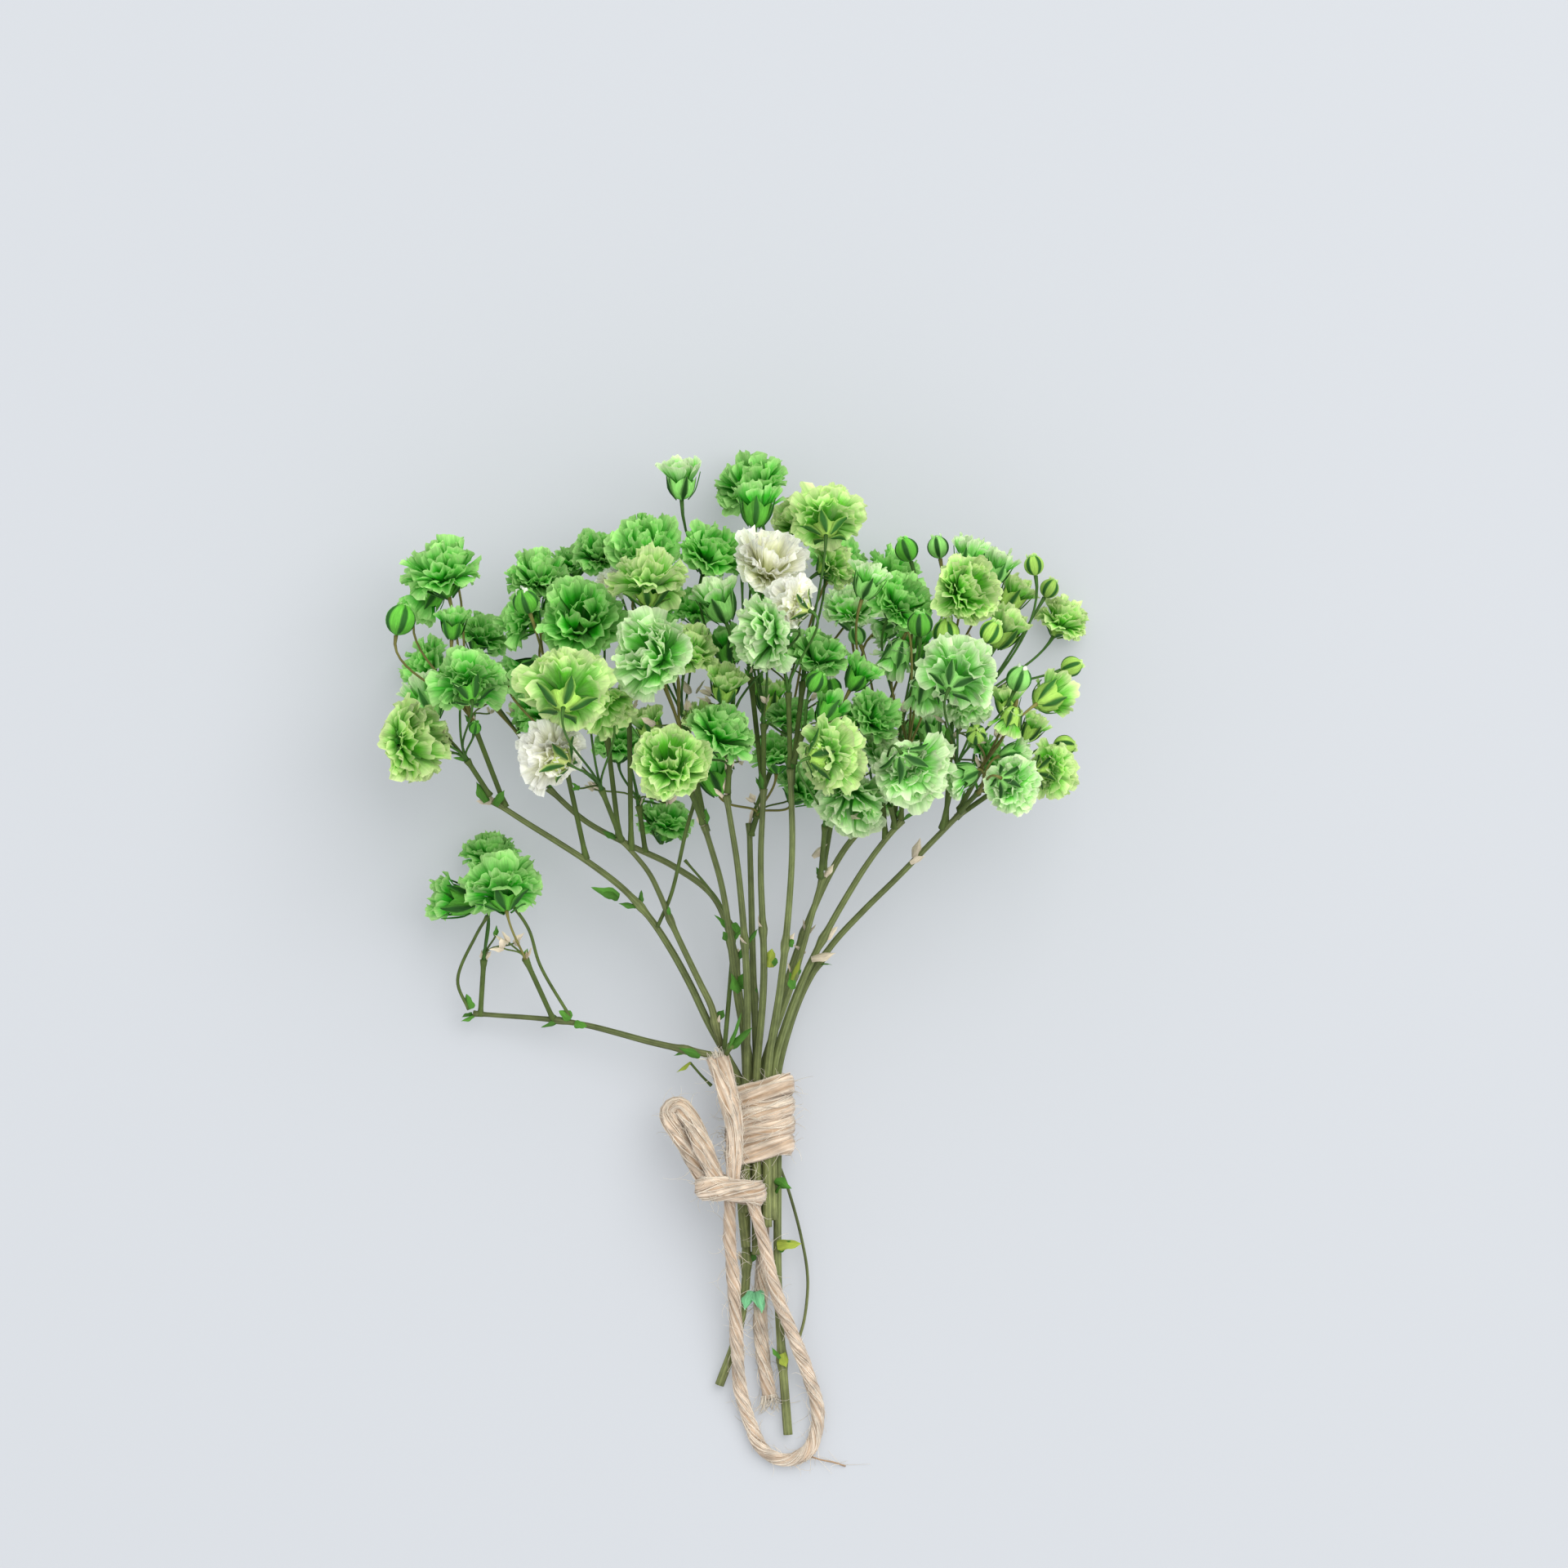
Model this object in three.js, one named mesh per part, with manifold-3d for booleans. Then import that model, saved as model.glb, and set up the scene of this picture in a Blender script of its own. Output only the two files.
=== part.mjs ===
// A small bunch of dried, dyed gypsophila (baby's breath, of the carnation family), tied with jute
// twine and lying on a surface. Millimetres, +Z up, +Y from the cut stems to the flowers.
//
// Layout frame: x and y are counted from the middle of the tie, z from the surface. The finished
// group is shifted so that the origin is under the middle of the bunch.
import * as THREE from "three";
import { mergeVertices } from "three/addons/utils/BufferGeometryUtils.js";
import Module from "manifold-3d";

// ---- Driving dimensions ----
const CROWN_WIDTH = 1; // of the stems and flowers above the tie, against the places listed below
const CROWN_LENGTH = 1; // the same, along the stems
const STEM_RADIUS = 0.5; // a main stem, at the tie and below it
const STEM_TIP_RADIUS = 0.36; // a main stem where its last side shoots leave it
const SHOOT_RADIUS = 0.28; // the first stretch of a flowering side shoot
const SHOOT_TAPER = 0.8; // end of a long side shoot, against its start
const STALK_RADIUS = 0.15; // the fine stalk under one flower
const KNUCKLE_RADIUS = 0.62; // the swollen node where a side shoot forks
const HEAD_SCALE = 1.06; // flower heads, against the diameters in the list below
const TWINE_RADIUS = 0.95; // slack and pressed wide, as it is round the stems
const LOOP_RADIUS = 0.78; // the same twine, hanging in its loop
const TWINE_SIDES = 8;
const GAP = 0.1; // between separate solids that lie against each other
const TIE_PITCH = 2 * STEM_RADIUS + GAP; // stem to stem across the tie
const TIE_ROW = (TIE_PITCH * Math.sqrt(3)) / 2; // one layer of stems to the next, each between two below
const TURN_PITCH = 2 * TWINE_RADIUS + GAP; // one turn of twine to the next
const TURNS = 4; // of twine round the stems
const CUT_DOME = 0.15; // how far a cut end bulges, in radii

// ---- Shapes ----
const wasm = await Module();
wasm.setup();
const vec = (x, y, z) => new THREE.Vector3(x, y, z);
const inCrown = (x, y, z) => vec(x * CROWN_WIDTH, y * CROWN_LENGTH, z);

function solidOf(geometry) {
  const bare = geometry.clone();
  bare.deleteAttribute("normal");
  bare.deleteAttribute("uv");
  const merged = mergeVertices(bare, 1e-4);
  return new wasm.Manifold(
    new wasm.Mesh({
      numProp: 3,
      vertProperties: merged.attributes.position.array,
      triVerts: new Uint32Array(merged.index.array),
    }),
  );
}

function geometryOf(solid) {
  const { numProp, numVert, vertProperties, triVerts } = solid.getMesh();
  const positions = new Float32Array(numVert * 3);
  for (let i = 0; i < numVert; i++) {
    positions.set(vertProperties.subarray(i * numProp, i * numProp + 3), i * 3);
  }
  return new THREE.BufferGeometry()
    .setAttribute("position", new THREE.BufferAttribute(positions, 3))
    .setIndex(new THREE.BufferAttribute(triVerts, 1));
}

const joined = (geometries) => geometryOf(geometries.map(solidOf).reduce((a, b) => a.add(b)));

// A closed round bar along a curve, tapering from one radius to the other, with domed ends.
// It is a turned spindle, bent so that its axis follows the curve.
function bar(curve, startRadius, endRadius, sides, steps) {
  const profile = [new THREE.Vector2(0, 0)];
  for (let i = 0; i <= steps; i++) {
    const share = i / steps;
    profile.push(new THREE.Vector2(THREE.MathUtils.lerp(startRadius, endRadius, share), share));
  }
  profile.push(new THREE.Vector2(0, 1));
  const spindle = new THREE.LatheGeometry(profile, sides);
  const frames = curve.computeFrenetFrames(steps, false);
  const points = curve.getSpacedPoints(steps);
  const position = spindle.getAttribute("position");
  const at = new THREE.Vector3();
  for (let i = 0; i < position.count; i++) {
    at.fromBufferAttribute(position, i);
    const ring = Math.round(at.y * steps);
    const onAxis = Math.hypot(at.x, at.z) < 1e-6;
    const dome = onAxis ? (at.y < 0.5 ? -startRadius : endRadius) * CUT_DOME : 0;
    const placed = points[ring]
      .clone()
      .addScaledVector(frames.normals[ring], at.z)
      .addScaledVector(frames.binormals[ring], at.x)
      .addScaledVector(frames.tangents[ring], dome);
    position.setXYZ(i, placed.x, placed.y, placed.z);
  }
  return spindle;
}

const through = (points) => new THREE.CatmullRomCurve3(points, false, "centripetal");

const LEAVING = 0.3; // how far a stalk keeps its first direction, against its reach
const ARRIVING = 0.35; // and how far it comes in along its head's axis
function stalkCurve(from, direction, base, axis) {
  const reach = from.distanceTo(base);
  return new THREE.CubicBezierCurve3(
    from,
    from.clone().addScaledVector(direction, LEAVING * reach),
    base.clone().addScaledVector(axis, -ARRIVING * reach),
    base,
  );
}

// Outlines of the flower heads, as [radius, height above the stalk's end] in head radii, turned
// about the head's axis. Each kind has its own number of sides.
const FULL = {
  sides: 8,
  middle: 0.9,
  outline: [[0, 0], [0.22, 0.1], [0.95, 0.85], [0.88, 1.3], [0.42, 1.6], [0, 1.68]],
};
const HALF = {
  sides: 7,
  middle: 1.05,
  outline: [[0, 0], [0.22, 0.04], [0.56, 0.5], [0.82, 1.6], [0.35, 1.92], [0, 1.98]],
};
const BUD = {
  sides: 6,
  middle: 1.0,
  outline: [[0, 0], [0.24, 0.04], [0.76, 0.55], [0.78, 1.15], [0.42, 1.68], [0, 1.92]],
};

function headShape({ kind, radius, base, axis }) {
  const points = kind.outline.map(([r, h]) => new THREE.Vector2(r * radius, h * radius));
  const shape = new THREE.LatheGeometry(points, kind.sides);
  shape.applyQuaternion(new THREE.Quaternion().setFromUnitVectors(vec(0, 1, 0), axis));
  return shape.translate(base.x, base.y, base.z);
}

// ---- The tie ----
// Stems lie in three layers inside the twine. The lowest layer rests on the twine's own thickness.
const LAYER_SIZE = 4;
const FIRST_LAYER_Z = 2 * TWINE_RADIUS + GAP + STEM_RADIUS;
const LAYER_STAGGER = [0, -TIE_PITCH / 2, 0];
const layers = LAYER_STAGGER.length;
const bundleHalfWidth = ((LAYER_SIZE - 1) / 2) * TIE_PITCH + STEM_RADIUS + TIE_PITCH / 4;
const bundleHalfHeight = ((layers - 1) / 2) * TIE_ROW + STEM_RADIUS;
const bundleX = -TIE_PITCH / 4;
const bundleZ = FIRST_LAYER_Z + ((layers - 1) / 2) * TIE_ROW;
const wrapHalfWidth = bundleHalfWidth + 2 * GAP + TWINE_RADIUS;
const wrapHalfHeight = bundleHalfHeight + GAP + TWINE_RADIUS;

const columnX = (column) => (column - (LAYER_SIZE - 1) / 2) * TIE_PITCH;
const layerZ = (layer) => FIRST_LAYER_Z + layer * TIE_ROW;
const slot = (layer, column) => [columnX(column) + LAYER_STAGGER[layer], layerZ(layer)];
// A place among the other stems just below the tie, by column and layer of the bundle.
const inBundle = (column, y, layer) => [columnX(column), y, layerZ(layer)];

const TURNS_MIDDLE = 0.4; // y
const wrapTop = TURNS_MIDDLE + (TURNS * TURN_PITCH) / 2;
const wrapBottom = wrapTop - TURNS * TURN_PITCH;
const WRAP_POINTS = 12; // to one turn
const SQUARENESS = 0.6; // 1 for an ellipse, towards 0 for a box

// One turn after another round the bundle, from below it to below it.
function wrapCurve() {
  const points = [];
  const eased = (v) => Math.sign(v) * Math.abs(v) ** SQUARENESS;
  for (let i = 0; i <= TURNS * WRAP_POINTS; i++) {
    const turn = i / WRAP_POINTS;
    const angle = turn * 2 * Math.PI - Math.PI / 2;
    points.push(
      vec(
        bundleX + wrapHalfWidth * eased(Math.cos(angle)),
        wrapTop - turn * TURN_PITCH,
        bundleZ + wrapHalfHeight * eased(Math.sin(angle)),
      ),
    );
  }
  return through(points);
}

// ---- Main stems ----
// upward: points from the tie to the last joint. Below the tie a stem runs straight to its cut end,
// or through the downward points.
const STEMS = {
  left: {
    slot: slot(1, 0),
    upward: [[-4, 7.6, 5], [-9, 17.5, 7.5], [-13.8, 23.9, 9.5], [-27.5, 33.3, 13]],
    downward: [inBundle(-0.4, -8, 0.75), inBundle(0, -12.6, 0.5)],
  },
  inner_left: {
    slot: slot(1, 1),
    upward: [[-2.5, 13, 7.6], [-4, 24.2, 13], [-5.9, 30.8, 16]],
    cut: -7.6,
  },
  middle_left: {
    slot: slot(2, 0),
    upward: [[-1.5, 14, 10], [-2.4, 26, 17], [-3.6, 33.8, 21]],
    cut: -9,
  },
  middle: {
    slot: slot(2, 1),
    upward: [[0.2, 15, 10], [-0.1, 27, 16], [0.2, 34.5, 18.5]],
    cut: -8.4,
  },
  middle_right: {
    slot: slot(2, 2),
    upward: [[2, 15, 11], [3.1, 28, 18.5], [2.9, 36.5, 22]],
    cut: -10.5,
  },
  inner_right: {
    slot: slot(1, 2),
    upward: [[3.2, 15, 8.5], [6.2, 25.5, 13.5]],
    cut: -12,
  },
  right: {
    slot: slot(1, 3),
    upward: [[4.2, 15, 7], [11, 27.2, 13], [14.3, 31.3, 15.5]],
    cut: -9.8,
  },
  right_outer: {
    slot: slot(0, 3),
    upward: [[5.4, 16, 5.5], [15.4, 27, 10.5], [20.6, 32.4, 14]],
    downward: [[1.6, -10, 2.2], [1.7, -18.3, 1.6], [2.7, -32, 0.9]],
  },
  low_left: {
    slot: slot(0, 0),
    upward: [[-2.4, 14, 3.6], [-3.9, 21.6, 4.9], [-6.4, 24.9, 5.4], [-17.8, 31, 6.5], [-21.9, 34.6, 7.5]],
    downward: [inBundle(0, -9, -0.4), [-1.8, -17.5, 1.5], [-3.5, -25, 1], [-4.4, -26.9, 0.8]],
  },
  low_middle: {
    slot: slot(0, 1),
    upward: [[-0.9, 16, 3], [-1.3, 31, 4.5]],
    cut: -13.4,
  },
  low_right: {
    slot: slot(0, 2),
    upward: [[3, 16, 3.2], [9, 29, 4.6], [17.4, 36, 6]],
    cut: -9.6,
  },
};

function stemCurve({ slot: [x, z], upward, cut, downward = [[x, cut, z]] }) {
  const [from, to] = [wrapBottom - TWINE_RADIUS, wrapTop + TWINE_RADIUS];
  const below = downward.map((p) => vec(...p)).reverse();
  const tie = [0, 0.25, 0.5, 0.75, 1].map((share) => vec(x, THREE.MathUtils.lerp(from, to, share), z));
  const above = upward.map((p) => inCrown(...p));
  return through([...below, ...tie, ...above]);
}

// Side shoots that are long enough to be stems of their own. The first two leave the left stem,
// and the third is bowed, below the tie.
const LONG_SHOOTS = {
  loose_shoot: {
    radius: 0.38,
    route: [[-5.8, 7.3, 5.2], [-11, 8.4, 4.5], [-19.4, 10.5, 3.6], [-29.7, 11.4, 2.4]],
  },
  inner_shoot: {
    radius: 0.38,
    route: [[-5.2, 12.2, 7.4], [-8.9, 20, 9.6], [-11.6, 26, 11.5], [-14.7, 29.6, 13]],
  },
  curved_shoot: {
    radius: 0.2,
    route: [[2.6, -6.4, 1.2], [3.7, -10.2, 1.1], [4.7, -15.8, 1], [4.3, -20.4, 0.7], [3.8, -22.2, 0.6]],
  },
};

// ---- Flowering side shoots ----
// Each leaves a stem at a share of the stem's length, forks once, and carries flower heads:
// [x, y, z of the head's middle, diameter, azimuth it faces, elevation it faces, kind].
const SPRIGS = [
  ["left", 0.99, "green", [
    [-34, 39.2, 16, 7.6, 10, 25, FULL],
    [-30, 46, 20, 6.8, 100, -40, FULL],
    [-29.2, 40.8, 18, 1.4, 80, 30, BUD],
    [-34.8, 44.2, 10, 5, 110, -20, HALF],
  ]],
  ["left", 0.97, "green", [
    [-32.8, 57.3, 14, 7, 105, 10, FULL],
    [-34.7, 53.5, 8, 4.6, 230, 0, HALF],
    [-36.9, 51.9, 14, 3.3, 75, 0, BUD],
    [-31.4, 51.7, 16, 3.6, 85, 10, HALF],
  ]],
  ["left", 0.8, "green", [
    [-24.4, 46, 13, 5, 200, 10, HALF],
    [-25.1, 52.3, 17, 5.2, 150, -10, FULL],
    [-23.7, 53.5, 22, 2.8, 110, 30, BUD],
    [-22.8, 56.4, 13, 5.8, 90, 20, FULL],
    [-20.6, 55.2, 9, 4.4, 60, 20, HALF],
  ]],
  ["low_left", 0.99, "green", [
    [-24.4, 41.7, 6, 6, 120, 5, FULL],
    [-28.4, 50.7, 7, 5, 60, -10, FULL],
    [-34.3, 47.5, 2.6, 5.2, 160, 0, FULL],
  ]],
  ["low_left", 0.83, "green", [
    [-14.4, 39.6, 8, 4.8, 90, 10, FULL],
    [-11, 31.3, 5, 5.2, 80, 5, FULL],
    [-19.4, 57.2, 8, 4.2, 100, 10, FULL],
  ]],
  ["inner_shoot", 0.97, "lime", [
    [-20.5, 39, 25, 6.8, 150, -40, FULL],
    [-19.2, 44.8, 30, 8.3, 80, -50, FULL],
    [-15.4, 42.3, 22, 5.6, 300, 10, FULL],
  ]],
  ["inner_shoot", 0.99, "green", [
    [-18.2, 52.3, 21, 7.8, 90, 60, FULL],
    [-16.5, 59, 14, 4.6, 100, 40, FULL],
  ]],
  ["inner_shoot", 0.9, "undyed", [
    [-15.6, 55.4, 17, 3.6, 150, 20, FULL],
  ]],
  ["inner_left", 0.98, "lime", [
    [-9, 37.9, 31, 6.9, 90, 65, FULL],
    [-7.6, 41.5, 19, 4.2, 90, 10, FULL],
    [-11.5, 41.8, 17, 4, 110, 0, HALF],
  ]],
  ["inner_left", 0.99, "mint", [
    [-12.3, 48, 30, 7.6, 150, 50, FULL],
    [-11.3, 55.6, 27, 7, 90, -15, FULL],
    [-10.4, 51.6, 20, 4.4, 320, 20, FULL],
  ]],
  ["inner_left", 0.96, "green", [
    [-6.9, 48.6, 23, 5.4, 80, 20, FULL],
    [-7.3, 53.2, 14, 4.6, 90, 10, FULL],
    [-12.9, 60.8, 17, 6.6, 90, 40, FULL],
    [-9.6, 59.6, 10, 4.2, 40, 20, FULL],
  ]],
  ["middle_left", 0.98, "lime", [
    [-2.2, 41.5, 27, 6, 55, 20, FULL],
    [-2.8, 45.2, 22, 4.2, 80, 30, HALF],
    [-0.3, 44.6, 15, 4, 90, 0, HALF],
    [-3.9, 39.4, 13, 4, 110, -10, HALF],
  ]],
  ["middle_left", 0.99, "mint", [
    [-4.4, 54.4, 23, 5.2, 110, 10, HALF],
    [-1.2, 51.4, 31, 6.6, 190, 20, FULL],
    [-5.9, 58.6, 19, 6, 70, 20, FULL],
    [-3.4, 49.6, 16, 4.4, 100, 0, HALF],
  ]],
  ["middle", 0.98, "green", [
    [-0.3, 55, 17, 5, 60, 30, FULL],
    [-0.3, 48.6, 23, 5, 300, 20, FULL],
    [2.3, 42.5, 16, 4.4, 90, 0, FULL],
  ]],
  ["middle", 0.99, "mint", [
    [0.6, 64.4, 18, 4.8, 85, -10, HALF],
    [-6.9, 65.7, 14, 4.6, 90, 10, HALF],
    [-2.3, 65, 6.5, 6.6, 110, 30, FULL],
    [-1.1, 60.4, 3, 4.8, 90, 0, FULL],
  ]],
  ["middle_right", 0.98, "undyed", [
    [2, 56.7, 23, 6.9, 70, 40, FULL],
    [5, 52.4, 27.5, 5.4, 160, -25, FULL],
  ]],
  ["middle_right", 0.99, "green", [
    [5.8, 48.1, 21, 5.2, 70, 20, FULL],
    [4.2, 46, 25.5, 2.4, 60, 20, BUD],
    [5.6, 42.9, 22, 4, 60, -40, HALF],
  ]],
  ["middle_right", 0.96, "lime", [
    [6.8, 62, 20, 6.8, 90, -45, FULL],
    [3.6, 62.6, 13, 5.2, 130, 20, FULL],
    [7.4, 57.4, 14, 4.6, 30, 0, FULL],
  ]],
  ["inner_right", 0.98, "lime", [
    [7.7, 38.2, 27, 7, 10, -35, FULL],
    [9.1, 32.8, 22.5, 6.6, 280, 40, FULL],
  ]],
  ["inner_right", 0.99, "green", [
    [7.2, 44.6, 18, 2.4, 100, 10, BUD],
    [9.1, 42.2, 16, 3, 100, -10, HALF],
    [9.2, 46.6, 20.5, 4, 60, 10, HALF],
    [11.4, 43.6, 21, 5, 40, 30, FULL],
  ]],
  ["right", 0.98, "mint", [
    [15.8, 35.8, 25.5, 7.3, 300, -40, FULL],
    [12.4, 38.8, 19, 4.6, 60, 0, FULL],
    [11.8, 33.8, 12, 4.4, 60, 0, FULL],
  ]],
  ["right", 0.99, "mint", [
    [12.5, 47.4, 16, 4.4, 250, -20, HALF],
    [15.4, 44.6, 21, 4.2, 270, -30, HALF],
    [16.4, 41.2, 17, 3.8, 100, 0, HALF],
  ]],
  ["right", 0.94, "mint", [
    [11.2, 55.8, 21, 4.2, 70, 10, HALF],
    [9.7, 50.2, 14, 2, 110, 0, BUD],
    [12.7, 50.6, 12, 3.2, 200, 0, HALF],
    [9.2, 53.2, 7, 5.6, 90, 10, FULL],
  ]],
  ["right", 0.97, "green", [
    [14.8, 54, 19, 6, 50, 30, FULL],
    [16.4, 50.6, 24.5, 2.8, 90, 20, BUD],
    [14.8, 59, 12, 2.6, 110, 0, BUD],
    [15.2, 49.8, 11, 4.2, 90, 0, HALF],
  ]],
  ["right_outer", 0.99, "mint", [
    [25, 35.3, 23, 5.4, 330, -50, FULL],
    [21, 36, 21, 4, 200, 20, HALF],
    [26.4, 38.2, 19, 3.4, 10, 0, HALF],
  ]],
  ["right_outer", 0.97, "lime", [
    [29.4, 36.9, 17.5, 5.2, 0, -35, FULL],
    [31, 38.9, 11.5, 2.4, 0, 0, BUD],
    [27.8, 41, 10, 3.2, 60, 0, HALF],
  ]],
  ["right_outer", 0.98, "lime", [
    [29.5, 43.8, 18, 4.8, 30, -45, HALF],
    [25, 43.4, 14, 3.6, 90, 0, HALF],
    [25.3, 40.8, 21, 3.4, 250, -20, HALF],
    [21.7, 39.8, 25, 2.2, 90, 70, BUD],
  ]],
  ["right_outer", 0.95, "mint", [
    [20.2, 46.8, 26, 7.2, 60, -45, FULL],
    [21.4, 42.8, 19, 4.6, 290, -20, FULL],
    [25.6, 46.4, 21, 2.8, 70, 20, BUD],
  ]],
  ["right_outer", 0.96, "lime", [
    [20.8, 54.8, 20, 6.4, 30, 50, FULL],
    [18.8, 50.6, 18.5, 3, 90, 10, BUD],
    [23.6, 49.8, 22, 2.6, 60, 10, BUD],
  ]],
  ["low_right", 0.99, "mint", [
    [21.4, 58.8, 14, 4.4, 80, 0, HALF],
    [18.2, 59.1, 11, 2.4, 100, 0, BUD],
    [24, 57.6, 11, 4, 70, 0, HALF],
  ]],
  ["low_right", 0.98, "lime", [
    [25.1, 51.2, 14, 4.8, 60, 10, HALF],
    [26.2, 54.8, 4, 4.2, 60, 0, HALF],
    [28, 57.4, 7, 2.2, 100, 0, BUD],
    [29.8, 55.2, 5, 2.1, 60, 0, BUD],
    [30.8, 51.8, 2.6, 5, 60, 10, FULL],
    [31.8, 47.7, 4, 2.3, 20, 0, BUD],
  ]],
  ["low_right", 0.95, "green", [
    [18, 40, 10, 4.4, 90, 0, FULL],
    [23.5, 38, 10, 4.2, 30, 0, FULL],
    [18.4, 45.6, 11, 3.6, 90, 10, HALF],
  ]],
  ["low_middle", 0.99, "green", [
    [2.3, 49.4, 10, 5, 90, 0, FULL],
    [8.9, 58.2, 3.2, 6, 60, 0, FULL],
    [13.4, 57, 5, 5.6, 40, 0, FULL],
  ]],
  ["low_middle", 0.96, "green", [
    [4.3, 35, 4, 5, 60, 0, FULL],
    [-5.2, 36.3, 8, 4.8, 110, 0, HALF],
    [1.6, 38.6, 7, 4.8, 90, 0, FULL],
  ]],
  ["loose_shoot", 0.66, "green", [
    [-27.2, 25, 10, 7.4, 100, -25, FULL],
  ]],
  ["loose_shoot", 0.97, "green", [
    [-31.6, 23.4, 7, 5.2, 170, -5, HALF],
    [-27.8, 28.2, 3.5, 5.2, 90, 10, FULL],
  ]],
];

// ---- Growing the bunch ----
const STEM_STEPS = 14;
const LONG_SHOOT_STEPS = 8;
const stems = {};
for (const [name, stem] of Object.entries(STEMS)) {
  stems[name] = { curve: stemCurve(stem), start: STEM_RADIUS, end: STEM_TIP_RADIUS, steps: STEM_STEPS };
}
for (const [name, { radius, route }] of Object.entries(LONG_SHOOTS)) {
  const curve = through(route.map((p) => inCrown(...p)));
  stems[name] = { curve, start: radius, end: radius * SHOOT_TAPER, steps: LONG_SHOOT_STEPS };
}
const stemRadiusAt = ({ start, end }, share) => THREE.MathUtils.lerp(start, end, share);

function facing(azimuth, elevation) {
  const [a, e] = [azimuth, elevation].map(THREE.MathUtils.degToRad);
  return vec(Math.cos(e) * Math.cos(a), Math.cos(e) * Math.sin(a), Math.sin(e));
}

const sprigs = SPRIGS.map(([stem, share, colour, rows]) => ({
  colour,
  stem: stems[stem],
  share,
  joint: stems[stem].curve.getPointAt(share),
  heads: rows.map(([x, y, z, diameter, azimuth, elevation, kind]) => ({
    kind,
    radius: (HEAD_SCALE * diameter) / 2,
    home: inCrown(x, y, z),
    centre: inCrown(x, y, z),
    axis: facing(azimuth, elevation),
  })),
}));

// Works out a sprig's fork and stalks from where its heads are now.
const NECK = 0.3; // below a head, in head radii: what the sprig's shoot aims at
const FORK_OF_MANY = 0.42; // of the way to the necks, where a shoot with several heads forks
const FORK_OF_ONE = 0.6; // and where a shoot with one head has its node
const LEAST_LEAN = 0.35; // sine of the flattest angle at which a shoot leaves its stem
function grow(sprig) {
  const necks = sprig.heads.map((head) => {
    head.base = head.centre.clone().addScaledVector(head.axis, -head.kind.middle * head.radius);
    return head.base.clone().addScaledVector(head.axis, -NECK * head.radius);
  });
  const aim = necks.reduce((sum, neck) => sum.add(neck), vec(0, 0, 0)).divideScalar(necks.length);
  sprig.direction = aim.clone().sub(sprig.joint).normalize();
  const along = sprig.stem.curve.getTangentAt(sprig.share);
  const lean = Math.max(LEAST_LEAN, Math.sin(along.angleTo(sprig.direction)));
  const clear = (stemRadiusAt(sprig.stem, sprig.share) + SHOOT_RADIUS + GAP) / lean;
  sprig.start = sprig.joint.clone().addScaledVector(sprig.direction, clear);
  sprig.fork = sprig.start.clone().lerp(aim, sprig.heads.length > 1 ? FORK_OF_MANY : FORK_OF_ONE);
  for (const head of sprig.heads) {
    head.stalk = stalkCurve(sprig.fork, sprig.direction, head.base, head.axis);
  }
}

// Heads and stalks that would touch push each other apart until every one is clear, while each
// head is drawn back to its own place and none sinks below the surface.
const ROUNDS = 220;
const HELD_ROUNDS = 120; // in the later rounds nothing draws a head back
const HOLD = 0.06; // share of the way back to its place that a head moves in one round
const LONGEST_MOVE = 0.8; // of a head in one round
const HEAD_ROOM = 0.12; // kept clear round a head, beyond its radius
const STALK_ROOM = 0.28; // the radius kept clear round a stalk
const SHOOT_ROOM = 0.25; // kept clear round a side shoot, beyond its radius
const STEM_ROOM = 0.3; // kept clear round a main stem, beyond its radius
const STALK_SAMPLES = 9;
const SHOOT_SAMPLES = 5;
const STEM_SAMPLES = 60;
const REACH = 10; // beads further apart than this across or along the bunch can't touch
const FORK_FOLLOWS = 0.3; // how much of a push at the fork is passed on to a head
const SHOOT_FOLLOWS = 0.6; // how much of a push on the shoot is passed on to the sprig's heads

const stemBeads = Object.values(stems).flatMap((stem) =>
  Array.from({ length: STEM_SAMPLES + 1 }, (_, i) => ({
    at: stem.curve.getPointAt(i / STEM_SAMPLES),
    room: stemRadiusAt(stem, i / STEM_SAMPLES) + STEM_ROOM,
  })),
);

function beadsOf(sprig, owner) {
  const beads = [];
  for (const [branch, head] of sprig.heads.entries()) {
    const room = head.radius + HEAD_ROOM;
    beads.push({ at: head.centre.clone(), room, movers: [[head, 1]], owner, branch });
    for (let i = 1; i < STALK_SAMPLES; i++) {
      const share = i / STALK_SAMPLES;
      const at = head.stalk.getPoint(share);
      const nearFork = at.distanceTo(sprig.fork) < 3 * KNUCKLE_RADIUS;
      const movers = [[head, THREE.MathUtils.lerp(FORK_FOLLOWS, 1, share)]];
      beads.push({ at, room: STALK_ROOM, movers, owner, branch, nearFork });
    }
  }
  const movers = sprig.heads.map((head) => [head, SHOOT_FOLLOWS]);
  for (let i = 1; i <= SHOOT_SAMPLES; i++) {
    const at = sprig.start.clone().lerp(sprig.fork, i / SHOOT_SAMPLES);
    const room = i === SHOOT_SAMPLES ? KNUCKLE_RADIUS + GAP : SHOOT_RADIUS + SHOOT_ROOM;
    beads.push({ at, room, movers, owner, branch: -1, nearFork: true });
  }
  return beads;
}

function pushApart(a, b, moved) {
  const away = a.at.clone().sub(b.at);
  const overlap = a.room + b.room - away.length();
  if (overlap <= 0) return;
  if (away.lengthSq() < 1e-8) away.set(0, 0, 1);
  away.normalize();
  const sides = [a, b].filter((bead) => bead.movers);
  for (const bead of sides) {
    const push = ((bead === a ? 1 : -1) * overlap) / (sides.length * bead.movers.length);
    for (const [head, weight] of bead.movers) {
      if (!moved.has(head)) moved.set(head, vec(0, 0, 0));
      moved.get(head).addScaledVector(away, weight * push);
    }
  }
}

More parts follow.
